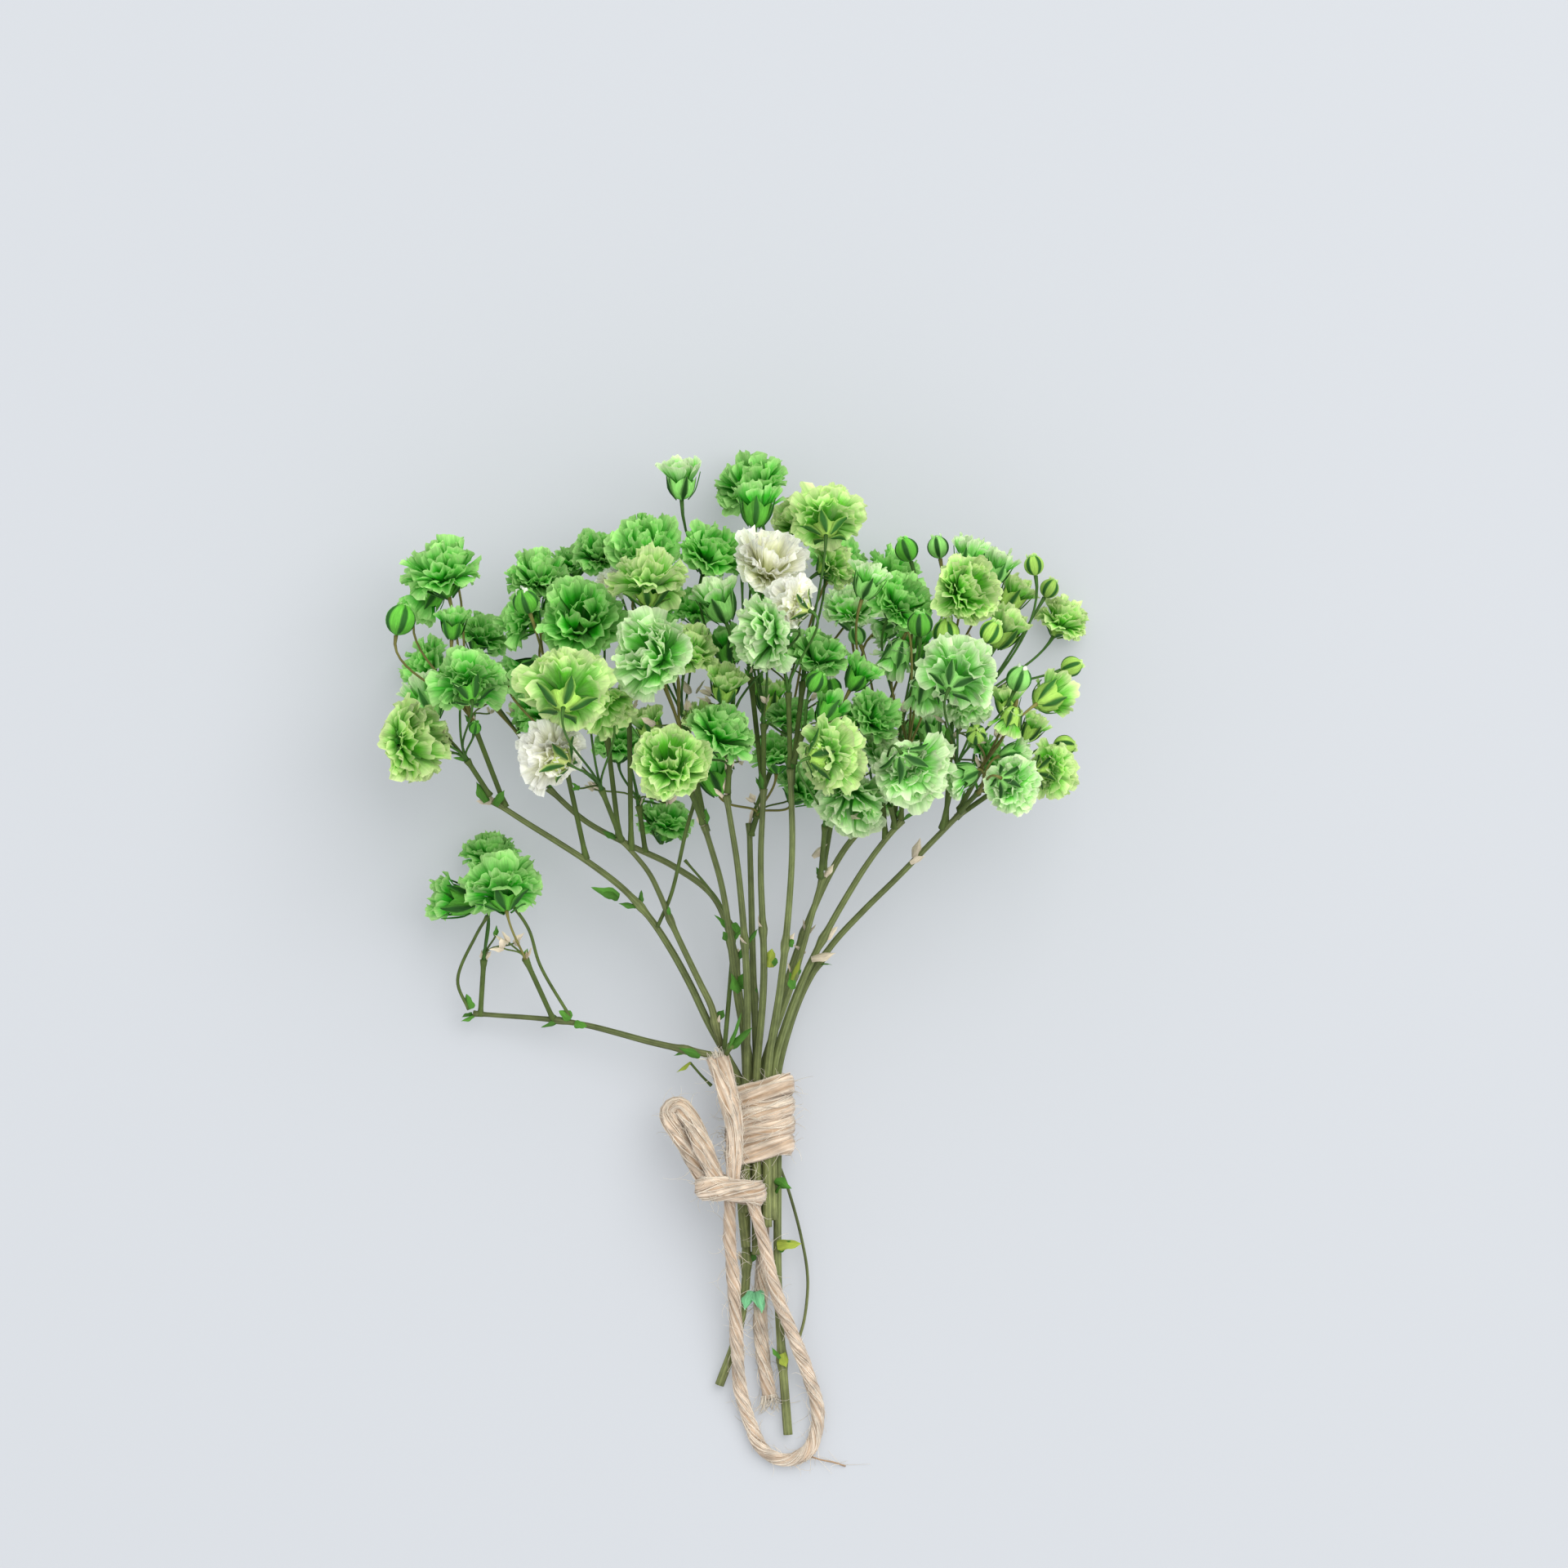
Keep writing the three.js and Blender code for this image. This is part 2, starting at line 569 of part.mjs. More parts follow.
const sameBranch = (a, b) =>
  a.owner === b.owner && (a.branch === b.branch || (a.nearFork && b.nearFork));

const inReach = (a, b) => Math.abs(a.at.x - b.at.x) < REACH && Math.abs(a.at.y - b.at.y) < REACH;

for (let round = 0; round < ROUNDS; round++) {
  sprigs.forEach(grow);
  const beads = sprigs.flatMap(beadsOf);
  const moved = new Map();
  for (const [i, a] of beads.entries()) {
    for (const b of beads.slice(i + 1)) {
      if (inReach(a, b) && !sameBranch(a, b)) pushApart(a, b, moved);
    }
    if (a.branch < 0) continue;
    for (const b of stemBeads) {
      if (inReach(a, b)) pushApart(a, b, moved);
    }
  }
  for (const head of sprigs.flatMap((sprig) => sprig.heads)) {
    if (moved.has(head)) head.centre.add(moved.get(head).clampLength(0, LONGEST_MOVE));
    if (round < HELD_ROUNDS) head.centre.lerp(head.home, HOLD);
    head.centre.z = Math.max(head.centre.z, head.radius);
  }
}
sprigs.forEach(grow);

// ---- Building the pieces ----
const COLOURS = {
  stem: [0x6c7a46, 0.75],
  green: [0x3fb832, 0.8],
  lime: [0x8fce58, 0.8],
  mint: [0xa6e3b4, 0.8],
  undyed: [0xeae4d6, 0.85],
  leaf: [0x4aa53a, 0.7],
  twine: [0xc9a67c, 0.95],
};
const bunch = new THREE.Group();

function add(name, geometry, colour) {
  const [color, roughness] = COLOURS[colour];
  const mesh = new THREE.Mesh(
    geometry,
    new THREE.MeshStandardMaterial({ color, roughness, metalness: 0 }),
  );
  mesh.name = name;
  bunch.add(mesh);
}

const STEM_SIDES = 6;
for (const [name, { curve, start, end, steps }] of Object.entries(stems)) {
  const shape = bar(curve, start, end, STEM_SIDES, steps);
  add(name in STEMS ? `stem_${name}` : name, shape, "stem");
}

const FINE_SIDES = 4;
const SHOOT_END = 0.9; // its radius at the fork, against its start
const STALK_STEP = 5; // about one step for this length of stalk
const STALK_DEPTH = 0.35; // how far a stalk runs up inside its head, in head radii
function sprigShape({ start, fork, heads }) {
  const line = new THREE.LineCurve3(start, fork);
  const shoot = bar(line, SHOOT_RADIUS, SHOOT_RADIUS * SHOOT_END, FINE_SIDES, 1);
  const knuckle = new THREE.OctahedronGeometry(KNUCKLE_RADIUS).translate(...fork);
  const pieces = [shoot, knuckle];
  for (const head of heads) {
    const steps = THREE.MathUtils.clamp(Math.round(head.stalk.getLength() / STALK_STEP), 2, 4);
    const inside = head.base.clone().addScaledVector(head.axis, STALK_DEPTH * head.radius);
    const curve = through([...head.stalk.getPoints(steps), inside]);
    pieces.push(bar(curve, STALK_RADIUS, STALK_RADIUS, FINE_SIDES, steps + 1), headShape(head));
  }
  return joined(pieces);
}
sprigs.forEach((sprig, i) => {
  add(`sprig_${String(i + 1).padStart(2, "0")}_${sprig.colour}`, sprigShape(sprig), sprig.colour);
});

// Leaves: thin lenses with a point at each end.
const LEAVES = {
  leaf_at_tie: { from: [-3.2, 8, 8.6], to: [-1.4, 11.4, 10.6], width: 0.9 },
  leaf_left_joint: { from: [-14.6, 23.4, 9.6], to: [-17.4, 24, 10.4], width: 0.7 },
};
const LEAF_THICKNESS = 0.3;
for (const [name, { from, to, width }] of Object.entries(LEAVES)) {
  const [start, end] = [vec(...from), vec(...to)];
  const lens = new THREE.SphereGeometry(0.5, 8, 6).scale(width, start.distanceTo(end), LEAF_THICKNESS);
  const direction = end.clone().sub(start).normalize();
  lens.applyQuaternion(new THREE.Quaternion().setFromUnitVectors(vec(0, 1, 0), direction));
  const middle = start.lerp(end, 0.5);
  add(name, lens.translate(middle.x, middle.y, middle.z), "leaf");
}

// Twine: the turns round the stems, the knot on their left, the short folded ear, the free loop that
// hangs from the knot and lies on the surface, and the two cut ends.
function twineAlong(curve, steps, radius = TWINE_RADIUS) {
  const corner = (_, i) => {
    const angle = (i / TWINE_SIDES) * 2 * Math.PI;
    return new THREE.Vector2(radius * Math.cos(angle), radius * Math.sin(angle));
  };
  const section = new THREE.Shape(Array.from({ length: TWINE_SIDES }, corner));
  return new THREE.ExtrudeGeometry(section, { steps, extrudePath: curve, bevelEnabled: false });
}
const twineThrough = (points, steps, radius) =>
  twineAlong(through(points.map((p) => vec(...p))), steps, radius);
add("twine_wrap", twineAlong(wrapCurve(), TURNS * WRAP_POINTS), "twine");

// Heights of the twine's middle: flat on the surface, low in the loop, and over the turns.
const LIFT = 0.03;
const LOOP_LIFT = 0.08; // more, as the loop sags a little between its points
const ON_SURFACE = TWINE_RADIUS + LIFT;
const LOOP_LOW = LOOP_RADIUS + LOOP_LIFT;
const OVER_TURNS = bundleZ + wrapHalfHeight + 2 * TWINE_RADIUS + GAP;
const KNOT = { centre: [-3.2, -6.6, OVER_TURNS - 1.05], size: [6, 2.2, 3] };
add(
  "twine_knot",
  new THREE.SphereGeometry(0.5, 10, 8).scale(...KNOT.size).translate(...KNOT.centre),
  "twine",
);
const LOOP = [
  [-3.3, -8.2, 6.2], [-3.3, -11.7, 5.2], [-2.9, -16.7, 3.6], [-2.6, -22.5, 2.6],
  [-2.2, -27.5, 1.5], [-1.1, -31.2, LOOP_LOW], [0.1, -33.6, LOOP_LOW], [2.4, -34.65, LOOP_LOW],
  [4.7, -33.7, LOOP_LOW], [5.7, -31.2, LOOP_LOW], [5.6, -28.7, 1], [4.8, -26, 1.6],
  [3.4, -22.2, 2.8], [1.5, -17.5, 4.2], [0.3, -12.5, 5.7], [-0.9, -8.1, 6.3],
];
add("twine_loop", twineThrough(LOOP, 32, LOOP_RADIUS), "twine");
const EAR = [
  [-5.6, -5.2, 6.6], [-7.6, -1.8, 6], [-9.4, 1.2, 5.4], [-9.2, 2.6, 5.3], [-8.1, 2.9, 5.5],
  [-7.1, 1.6, 6.2], [-6, -1.6, 7.4],
];
add("twine_ear", twineThrough(EAR, 14), "twine");
const END_TOP = [
  [-4.6, 7.4, OVER_TURNS - 1.2], [-4, 5, OVER_TURNS - 0.4], [-3, 1.5, OVER_TURNS + 0.2],
  [-2.7, -1.5, OVER_TURNS + 0.3], [-2.9, -5, OVER_TURNS + 0.3],
];
add("twine_end_top", twineThrough(END_TOP, 7), "twine");
const END_TAIL = [
  [-0.1, -7.4, ON_SURFACE], [0.1, -11, ON_SURFACE], [0, -16, ON_SURFACE], [-0.2, -20, ON_SURFACE],
  [0.1, -24, ON_SURFACE], [0.8, -28.3, ON_SURFACE],
];
add("twine_end_tail", twineThrough(END_TAIL, 9), "twine");

// ---- Origin: under the middle of the bunch, without the free loop ----
const CORD_NODES = ["twine_loop"];
const box = new THREE.Box3();
for (const mesh of bunch.children) {
  mesh.geometry.computeBoundingBox();
  if (!CORD_NODES.includes(mesh.name)) box.union(mesh.geometry.boundingBox);
}
const middle = box.getCenter(vec(0, 0, 0));
bunch.position.set(-middle.x, -middle.y, -box.min.z);

export default bunch;
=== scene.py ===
"""A small bunch of dried, dyed gypsophila tied with jute twine, seen from straight above.

The CAD frame gives every stem, sprig, flower head and turn of twine its place. This script finds those
places in the CAD meshes and grows the fine shapes there: petals, calyces, stalks, bracts, ridged stems
and spun twine.
"""
import math
import random

import bpy
import numpy as np
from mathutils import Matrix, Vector


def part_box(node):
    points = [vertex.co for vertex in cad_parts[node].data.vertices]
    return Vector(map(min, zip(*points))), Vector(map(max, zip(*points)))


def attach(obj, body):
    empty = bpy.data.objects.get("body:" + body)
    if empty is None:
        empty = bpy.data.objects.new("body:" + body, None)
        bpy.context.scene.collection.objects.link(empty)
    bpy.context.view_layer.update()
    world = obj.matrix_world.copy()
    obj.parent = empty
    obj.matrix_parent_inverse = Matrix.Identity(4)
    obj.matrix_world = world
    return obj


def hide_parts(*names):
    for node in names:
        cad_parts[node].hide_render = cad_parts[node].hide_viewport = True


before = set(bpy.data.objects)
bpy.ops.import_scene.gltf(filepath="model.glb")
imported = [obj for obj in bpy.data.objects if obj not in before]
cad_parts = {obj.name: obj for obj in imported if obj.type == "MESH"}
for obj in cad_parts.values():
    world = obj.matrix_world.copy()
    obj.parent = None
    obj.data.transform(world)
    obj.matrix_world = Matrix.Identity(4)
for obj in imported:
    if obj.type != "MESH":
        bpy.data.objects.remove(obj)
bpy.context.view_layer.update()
MM = 0.001


# ---- Colours ----
def rgb(red, green, blue):
    """An sRGB colour, 0 to 255, as linear red, green and blue."""
    channels = np.array([red, green, blue]) / 255
    return np.where(channels <= 0.04045, channels / 12.92, ((channels + 0.055) / 1.055) ** 2.4)


# Petals: deep inside the head, where denser dye and painted shade make them darker, the blade, and its
# dry edge.
PETALS = {
    "green": (rgb(8, 126, 6), rgb(62, 208, 36), rgb(192, 240, 152)),
    "lime": (rgb(48, 158, 16), rgb(126, 220, 64), rgb(232, 248, 180)),
    "mint": (rgb(52, 176, 34), rgb(134, 230, 92), rgb(236, 251, 208)),
    "undyed": (rgb(206, 212, 140), rgb(248, 248, 226), rgb(255, 254, 246)),
}
SEPAL_DARK = rgb(34, 84, 26)
# The calyx between its dark sepals.
SEPAL_PALE = {
    "green": rgb(100, 184, 60),
    "lime": rgb(164, 208, 92),
    "mint": rgb(146, 214, 112),
    "undyed": rgb(206, 222, 128),
}
STALK = rgb(86, 104, 50)
STALK_GOLD = rgb(150, 132, 74)
STEM = rgb(118, 128, 78)
# painted shade for the grooves between a stem's ridges
STEM_GROOVE_SHADE = rgb(52, 66, 32)
STEM_STRAW = rgb(150, 152, 98)
BRACT_GREEN = rgb(80, 136, 46)
BRACT_CREAM = rgb(214, 200, 176)
JUTE = rgb(220, 203, 183)
# JUTE_DARK is the darker fibres' colour and also the painted shade in the strand's grooves
JUTE_DARK = rgb(168, 138, 108)
JUTE_LIGHT = rgb(248, 236, 216)

# ---- The CAD's own proportions, which the heads and stems are recognised by ----
# Each kind of head: sides of its turned solid, height of its top, and the length of the spokes
# from the top to the ring below it, all in head radii.
KINDS = {
    8: {"name": "full", "top": 1.68, "spoke": math.hypot(0.42, 0.08)},
    7: {"name": "half", "top": 1.98, "spoke": math.hypot(0.35, 0.06)},
    6: {"name": "bud", "top": 1.92, "spoke": math.hypot(0.42, 0.24)},
}
NECK = 0.3  # head radii below its base, where the stalk is aimed
FORK_SHARE = {True: 0.42, False: 0.6}  # of the way to the heads, where a sprig with several or one forks
MAX_END_SPOKE = 0.8 * MM


def joined_mesh(node):
    """The CAD node's points, with doubles merged, and each point's neighbours."""
    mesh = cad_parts[node].data
    index, points, of_vertex = {}, [], []
    for vertex in mesh.vertices:
        key = tuple(round(value * 1e6) for value in vertex.co)
        if key not in index:
            index[key] = len(points)
            points.append(vertex.co.copy())
        of_vertex.append(index[key])
    near = [set() for _ in points]
    for edge in mesh.edges:
        a, b = (of_vertex[i] for i in edge.vertices)
        if a != b:
            near[a].add(b)
            near[b].add(a)
    return points, near


def fans(points, near, sides):
    """Points with that many neighbours, all equally far: the tips of turned solids."""
    for i, around in enumerate(near):
        if len(around) != sides:
            continue
        spokes = [(points[j] - points[i]).length for j in around]
        if max(spokes) - min(spokes) < 0.02 * max(spokes):
            yield i, sum(spokes) / sides, sum((points[j] for j in around), Vector()) / sides


def bezier(a, b, c, d, count):
    t = np.linspace(0, 1, count)[:, None]
    a, b, c, d = (np.array(p) for p in (a, b, c, d))
    return (1 - t) ** 3 * a + 3 * t * (1 - t) ** 2 * b + 3 * t**2 * (1 - t) * c + t**3 * d


def read_sprig(node):
    """A sprig's start, fork and heads, found in its CAD mesh."""
    points, near = joined_mesh(node)
    heads = []
    for sides, kind in KINDS.items():
        for i, spoke, ring in fans(points, near, sides):
            radius = spoke / kind["spoke"]
            axis = (points[i] - ring).normalized()
            base = points[i] - axis * kind["top"] * radius
            heads.append({"kind": kind["name"], "radius": radius, "axis": axis, "base": base})
    heads.sort(key=lambda head: (round(head["base"].y, 5), head["base"].x))
    ends = [ring for _, spoke, ring in fans(points, near, 4) if spoke < 0.4 * MM]
    aim = sum((h["base"] - h["axis"] * NECK * h["radius"] for h in heads), Vector()) / len(heads)
    start = max(ends, key=lambda end: (end - aim).length)
    fork = start.lerp(aim, FORK_SHARE[len(heads) > 1])
    direction = (aim - start).normalized()
    for head in heads:
        reach = (head["base"] - fork).length
        head["stalk"] = bezier(
            fork, fork + direction * 0.3 * reach,
            head["base"] - head["axis"] * 0.35 * reach, head["base"], 14,
        )
    return {"start": start, "fork": fork, "direction": direction, "heads": heads}


def read_bar(node, sides=6):
    """A stem's middle line and radii, ring by ring from one domed end to the other."""
    points, near = joined_mesh(node)
    tips = [i for i, spoke, _ in fans(points, near, sides) if spoke < MAX_END_SPOKE]
    first = min(tips, key=lambda i: points[i].y)
    seen, ring = {first}, {first}
    line, radii = [], []
    while True:
        ring = {j for i in ring for j in near[i]} - seen
        if len(ring) != sides:
            break
        seen |= ring
        middle = sum((points[i] for i in ring), Vector()) / sides
        line.append(middle)
        radii.append(sum((points[i] - middle).length for i in ring) / sides)
    return np.array([list(p) for p in line]), np.array(radii)


# ---- Meshes ----
PRESSED = 0.4 * MM  # what comes lower than this is pressed flat, just above the surface


class Shape:
    """Gathers vertices, faces, and each vertex's colour and grain coordinate, into one mesh piece."""

    def __init__(self):
        self.points, self.faces, self.tints, self.grains, self.count = [], [], [], [], 0

    def grid(self, points, tints, grains, closed=False):
        """Adds rows of points as a sheet, or as a tube when closed round its columns."""
        rows, columns = points.shape[:2]
        ids = self.count + np.arange(rows * columns).reshape(rows, columns)
        if closed:
            ids = np.concatenate([ids, ids[:, :1]], axis=1)
        quads = np.stack([ids[:-1, :-1], ids[:-1, 1:], ids[1:, 1:], ids[1:, :-1]], axis=-1)
        self.faces.append(quads.reshape(-1, 4))
        self._add(points, tints, grains)

    def _add(self, points, tints, grains):
        height = points[..., 2]
        pressed = PRESSED * np.exp(height / PRESSED - 1)
        height = np.where(height < PRESSED, pressed, height)
        points = np.concatenate([points[..., :2], height[..., None]], axis=-1)
        self.points.append(points.reshape(-1, 3))
        self.tints.append(np.broadcast_to(tints, points.shape).reshape(-1, 3))
        self.grains.append(np.broadcast_to(grains, points.shape).reshape(-1, 3))
        self.count += points.reshape(-1, 3).shape[0]

    def piece(self, name, material):
        mesh = bpy.data.meshes.new(name)
        mesh.from_pydata(np.concatenate(self.points).tolist(), [], np.concatenate(self.faces).tolist())
        tint = mesh.attributes.new("tint", "FLOAT_COLOR", "POINT")
        opaque = np.ones((self.count, 1))
        tint.data.foreach_set("color", np.hstack([np.concatenate(self.tints), opaque]).ravel())
        grain = mesh.attributes.new("grain", "FLOAT_VECTOR", "POINT")
        grain.data.foreach_set("vector", np.concatenate(self.grains).ravel())
        mesh.polygons.foreach_set("use_smooth", [True] * len(mesh.polygons))
        mesh.materials.append(material)
        mesh.validate()
        mesh.update()
        piece = bpy.data.objects.new(name, mesh)
        bpy.context.scene.collection.objects.link(piece)
        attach(piece, "root")
        return piece


def unit(vectors):
    return vectors / np.maximum(np.linalg.norm(vectors, axis=-1, keepdims=True), 1e-12)


PATH_SAMPLES = 24  # between two points of a path, before it is evened out


def any_angle(rng):
    return rng.uniform(0, 6.28)


def mixed(one, other, share):
    return one * (1 - share) + other * share


def stacked(*coordinates):
    return np.stack(np.broadcast_arrays(*coordinates), axis=-1)


def smooth_path(points, step):
    """A centripetal Catmull-Rom curve through the points, at an even step."""
    points = np.asarray(points, float)
    padded = np.vstack([2 * points[0] - points[1], points, 2 * points[-1] - points[-2]])
    curve = []
    for a, b, c, d in zip(padded, padded[1:], padded[2:], padded[3:]):
        t0 = 0.0
        t1 = t0 + math.sqrt(np.linalg.norm(b - a))
        t2 = t1 + math.sqrt(np.linalg.norm(c - b))
        t3 = t2 + math.sqrt(np.linalg.norm(d - c))
        t = np.linspace(t1, t2, PATH_SAMPLES, endpoint=False)[:, None]
        ab = (t1 - t) / (t1 - t0) * a + (t - t0) / (t1 - t0) * b
        bc = (t2 - t) / (t2 - t1) * b + (t - t1) / (t2 - t1) * c
        cd = (t3 - t) / (t3 - t2) * c + (t - t2) / (t3 - t2) * d
        abc = (t2 - t) / (t2 - t0) * ab + (t - t0) / (t2 - t0) * bc
        bcd = (t3 - t) / (t3 - t1) * bc + (t - t1) / (t3 - t1) * cd
        curve.append((t2 - t) / (t2 - t1) * abc + (t - t1) / (t2 - t1) * bcd)
    curve = np.vstack(curve + [points[-1:]])
    along = np.concatenate([[0], np.cumsum(np.linalg.norm(np.diff(curve, axis=0), axis=1))])
    count = max(3, int(round(along[-1] / step)) + 1)
    even = np.linspace(0, along[-1], count)
    return np.stack([np.interp(even, along, curve[:, k]) for k in range(3)], axis=1), even


def frames_along(line):
    """Tangents and two directions across them, carried along the line without twisting."""
    tangents = unit(np.gradient(line, axis=0))
    seed = np.array([0.0, 0.0, 1.0]) if abs(tangents[0][2]) < 0.9 else np.array([1.0, 0.0, 0.0])
    across = [unit(np.cross(tangents[0], seed))]
    for tangent in tangents[1:]:
        across.append(unit(across[-1] - tangent * np.dot(across[-1], tangent)))
    across = np.array(across)
    return tangents, across, np.cross(tangents, across)


DOME = 0.12  # how far a tube's capped end stands out, in its radii


def add_tube(shape, line, radii, sides, tints, lengthwise, ridge=None, capped=True):
    """A tube along a line. ridge(angles, along) swells its section; tints has one row per ring."""
    line = np.asarray(line)
    tangents, across, over = frames_along(line)
    radii = np.broadcast_to(radii, len(line))
    angles = np.linspace(0, 2 * math.pi, sides, endpoint=False)
    swell = ridge(angles[None, :], lengthwise[:, None]) if ridge else 0
    ring = radii[:, None] * (1 + swell)
    circle = (np.cos(angles)[None, :, None] * across[:, None]
              + np.sin(angles)[None, :, None] * over[:, None])
    points = line[:, None] + ring[..., None] * circle
    tints = np.broadcast_to(tints, (len(line), 1, 3)) if np.ndim(tints) < 3 else tints
    tints = np.broadcast_to(tints, points.shape)
    grains = stacked(np.cos(angles)[None, :], np.sin(angles)[None, :], lengthwise[:, None])
    if capped:
        def end(row, sign):
            middle = line[row] + sign * tangents[row] * radii[row] * DOME
            return closed_end(points[row], line[row], middle)
        points = np.concatenate([end(0, -1), points, end(-1, 1)])
        tints = np.concatenate([tints[:1], tints, tints[-1:]])
        grains = np.concatenate([grains[:1], grains, grains[-1:]])
    shape.grid(points, tints, grains, closed=True)


def closed_end(ring, centre, middle, left_open=1e-4):
    """The ring drawn together round middle, to a hole too small to see."""
    return np.broadcast_to(middle, (1, *ring.shape)) + left_open * (ring - centre)[None]


# ---- Flower heads ----
# Sizes in this section are in head radii: distances from the head's axis, and heights above its base.
PETAL_ROWS = 6
PETAL_COLUMNS = 9
T = np.linspace(0, 1, PETAL_ROWS)[:, None]  # along a petal, from its foot
U = np.linspace(-1, 1, PETAL_COLUMNS)[None, :]  # across a petal
CLAW = 0.16  # a petal's width at its foot, against its widest
# How far the outer edge of a petal is drawn back, as a share of its length: in single tears,
# in a cleft somewhere near its middle, and at its rounded corners.
TEAR = 0.1
CLEFT_DEPTH = 0.12
CLEFT_WIDTH = 0.25
ROUNDED = 0.26
EDGE_PULL = 1.1
# The most that a petal is twisted, cupped and tipped.
TWIST = 0.5
CUPPED = (-0.12, 0.22)
TIPPED = 0.16
# Where a petal's dry edge starts, and how unevenly the dye has run.
EDGE_STARTS = 0.7
FADED = 0.65
PATCHES = 0.5
PALEST = 0.92


def local_frame(head, spin):
    z = np.array(head["axis"])
    x = unit(np.cross(z, [0.31, 0.17, 0.93]))
    y = np.cross(z, x)
    x, y = x * math.cos(spin) + y * math.sin(spin), y * math.cos(spin) - x * math.sin(spin)
    return np.stack([x, y, z]) * head["radius"], np.array(head["base"])


def petal_edge(rng):
    """How far each column of a petal stops short of its full length."""
    tears = np.array([rng.uniform(0, TEAR) for _ in range(PETAL_COLUMNS)])
    cleft = CLEFT_DEPTH * np.exp(-((U[0] - rng.uniform(-0.3, 0.3)) / CLEFT_WIDTH) ** 2)
    return (tears + (cleft + ROUNDED * U[0] ** 2))[None, :]


def petal_tint(rng, colours, phases):
    """Deep colour at the foot, denser dye with painted shade, a pale dry edge, and pale parts that the
    dye hasn't reached.
    """
    foot_dye_and_shade, blade, edge = colours
    patch = 0.5 + 0.5 * np.sin(T * 5.2 + phases[0] + U * 1.7) * np.cos(U * 2.6 + phases[1])
    faded = rng.random() ** 2 * FADED + PATCHES * (patch - 0.5)
    faded = np.clip(faded, 0, PALEST)[..., None]
    blade = mixed(blade, edge, faded)
    out_of_foot = (np.clip(T * 1.5, 0, 1) ** 1.2 * np.ones_like(U))[..., None]
    at_edge = np.clip((T - EDGE_STARTS + 0.14 * np.abs(U)) / (1 - EDGE_STARTS), 0, 1) ** 1.3
    # painted shade: the petal's foot, deep inside the head, is darkened as well as more deeply dyed
    tint = mixed(foot_dye_and_shade, blade, out_of_foot)
    return mixed(tint, edge, at_edge[..., None])


def add_petal(shape, place, rng, foot, bend, tip, phi, width, ruffle, colours, glow):
    """One thin, ruffled petal. foot, bend and tip are [distance from the axis, height]."""
    axes, origin = place
    foot, bend, tip = (np.array(p) for p in (foot, bend, tip))
    spine = (1 - T) ** 2 * foot + 2 * T * (1 - T) * bend + T**2 * tip
    slope = unit(2 * (1 - T) * (bend - foot) + 2 * T * (tip - bend))
    pulled = -T**3 * petal_edge(rng) * np.linalg.norm(tip - bend) * EDGE_PULL
    widening = np.sin(np.minimum(T * 1.15, 1) * math.pi / 2) ** 2.2
    sideways = U * width * (CLAW + (1 - CLAW) * widening) / 2
    twist = rng.uniform(-TWIST, TWIST) * T
    phases = [rng.uniform(0, 2 * math.pi) for _ in range(4)]
    wave = np.sin(U * 3.6 + phases[0]) + 0.6 * np.sin(U * 8.2 + phases[1])
    lift = ruffle * T**1.5 * wave + rng.uniform(*CUPPED) * T * U**2 * width
    lift = lift + rng.uniform(-TIPPED, TIPPED) * T**3
    side = sideways * np.cos(twist)
    raised = lift + sideways * np.sin(twist)
    out = spine[:, None, 0] + pulled * slope[:, None, 0] - raised * slope[:, None, 1]
    up = spine[:, None, 1] + pulled * slope[:, None, 1] + raised * slope[:, None, 0]
    cos, sin = math.cos(phi), math.sin(phi)
    local = np.stack([out * cos - side * sin, out * sin + side * cos, up], axis=-1)
    tint = petal_tint(rng, colours, phases[2:])
    petal = np.full((PETAL_ROWS, PETAL_COLUMNS), rng.uniform(0, 50))
    grain = stacked(U, 0.35 * T, petal)
    shape.grid(local @ axes + origin, tint * glow, grain)


# How the petals of an open head stand, from the outermost: angle from the axis in degrees, how many,
# and their width.
OPEN_LAYERS = (
    (118, 12, 0.644), (100, 12, 0.621), (82, 12, 0.598),
    (62, 11, 0.575), (42, 10, 0.529), (20, 7, 0.483),
)
OPEN_CENTRE = 0.78  # height that the petals' tips stand round
OPEN_SPREAD = np.array([1.17, 0.92])  # half width and height of the head
TILT_SPREAD = 17  # degrees
MANY_PETALS = 2.4 * MM  # a head with a smaller radius has fewer
FEWER = 0.75
OPEN_RUFFLE = 0.085


def add_open_petals(shape, head, rng, colours):
    place = local_frame(head, any_angle(rng))
    share = 1 if head["radius"] > MANY_PETALS else FEWER
    lobes = [any_angle(rng) for _ in range(2)]
    for tilt, count, width in OPEN_LAYERS:
        count = round(count * share)
        start = rng.uniform(0, 2 * math.pi)
        for k in range(count):
            angle = math.radians(tilt + rng.uniform(-TILT_SPREAD, TILT_SPREAD))
            phi = start + (k + rng.uniform(-0.4, 0.4)) * 2 * math.pi / count
            lumpy = 1 + 0.1 * math.sin(3 * phi + lobes[0]) + 0.07 * math.sin(5 * phi + lobes[1])
            length = rng.uniform(0.84, 1.06) * lumpy
            tip = OPEN_SPREAD * length * [math.sin(angle), math.cos(angle)] + [0, OPEN_CENTRE]
            bend = [0.3 + 0.3 * math.sin(angle), 0.64 + 0.45 * max(math.cos(angle), 0)]
            foot = [rng.uniform(0.1, 0.2), 0.36]
            add_petal(shape, place, rng, foot, bend, tip, phi, width * rng.uniform(0.9, 1.3),
                      OPEN_RUFFLE, colours, rng.uniform(0.78, 1.14))


# The petals of a half-open head, from the outermost: how far out their tips are, and how many.
HALF_LAYERS = ((0.92, 8), (0.6, 8), (0.3, 5))
HALF_RUFFLE = 0.06
BUD_PETALS = 6  # their tips peep out of the bud
BUD_RUFFLE = 0.03


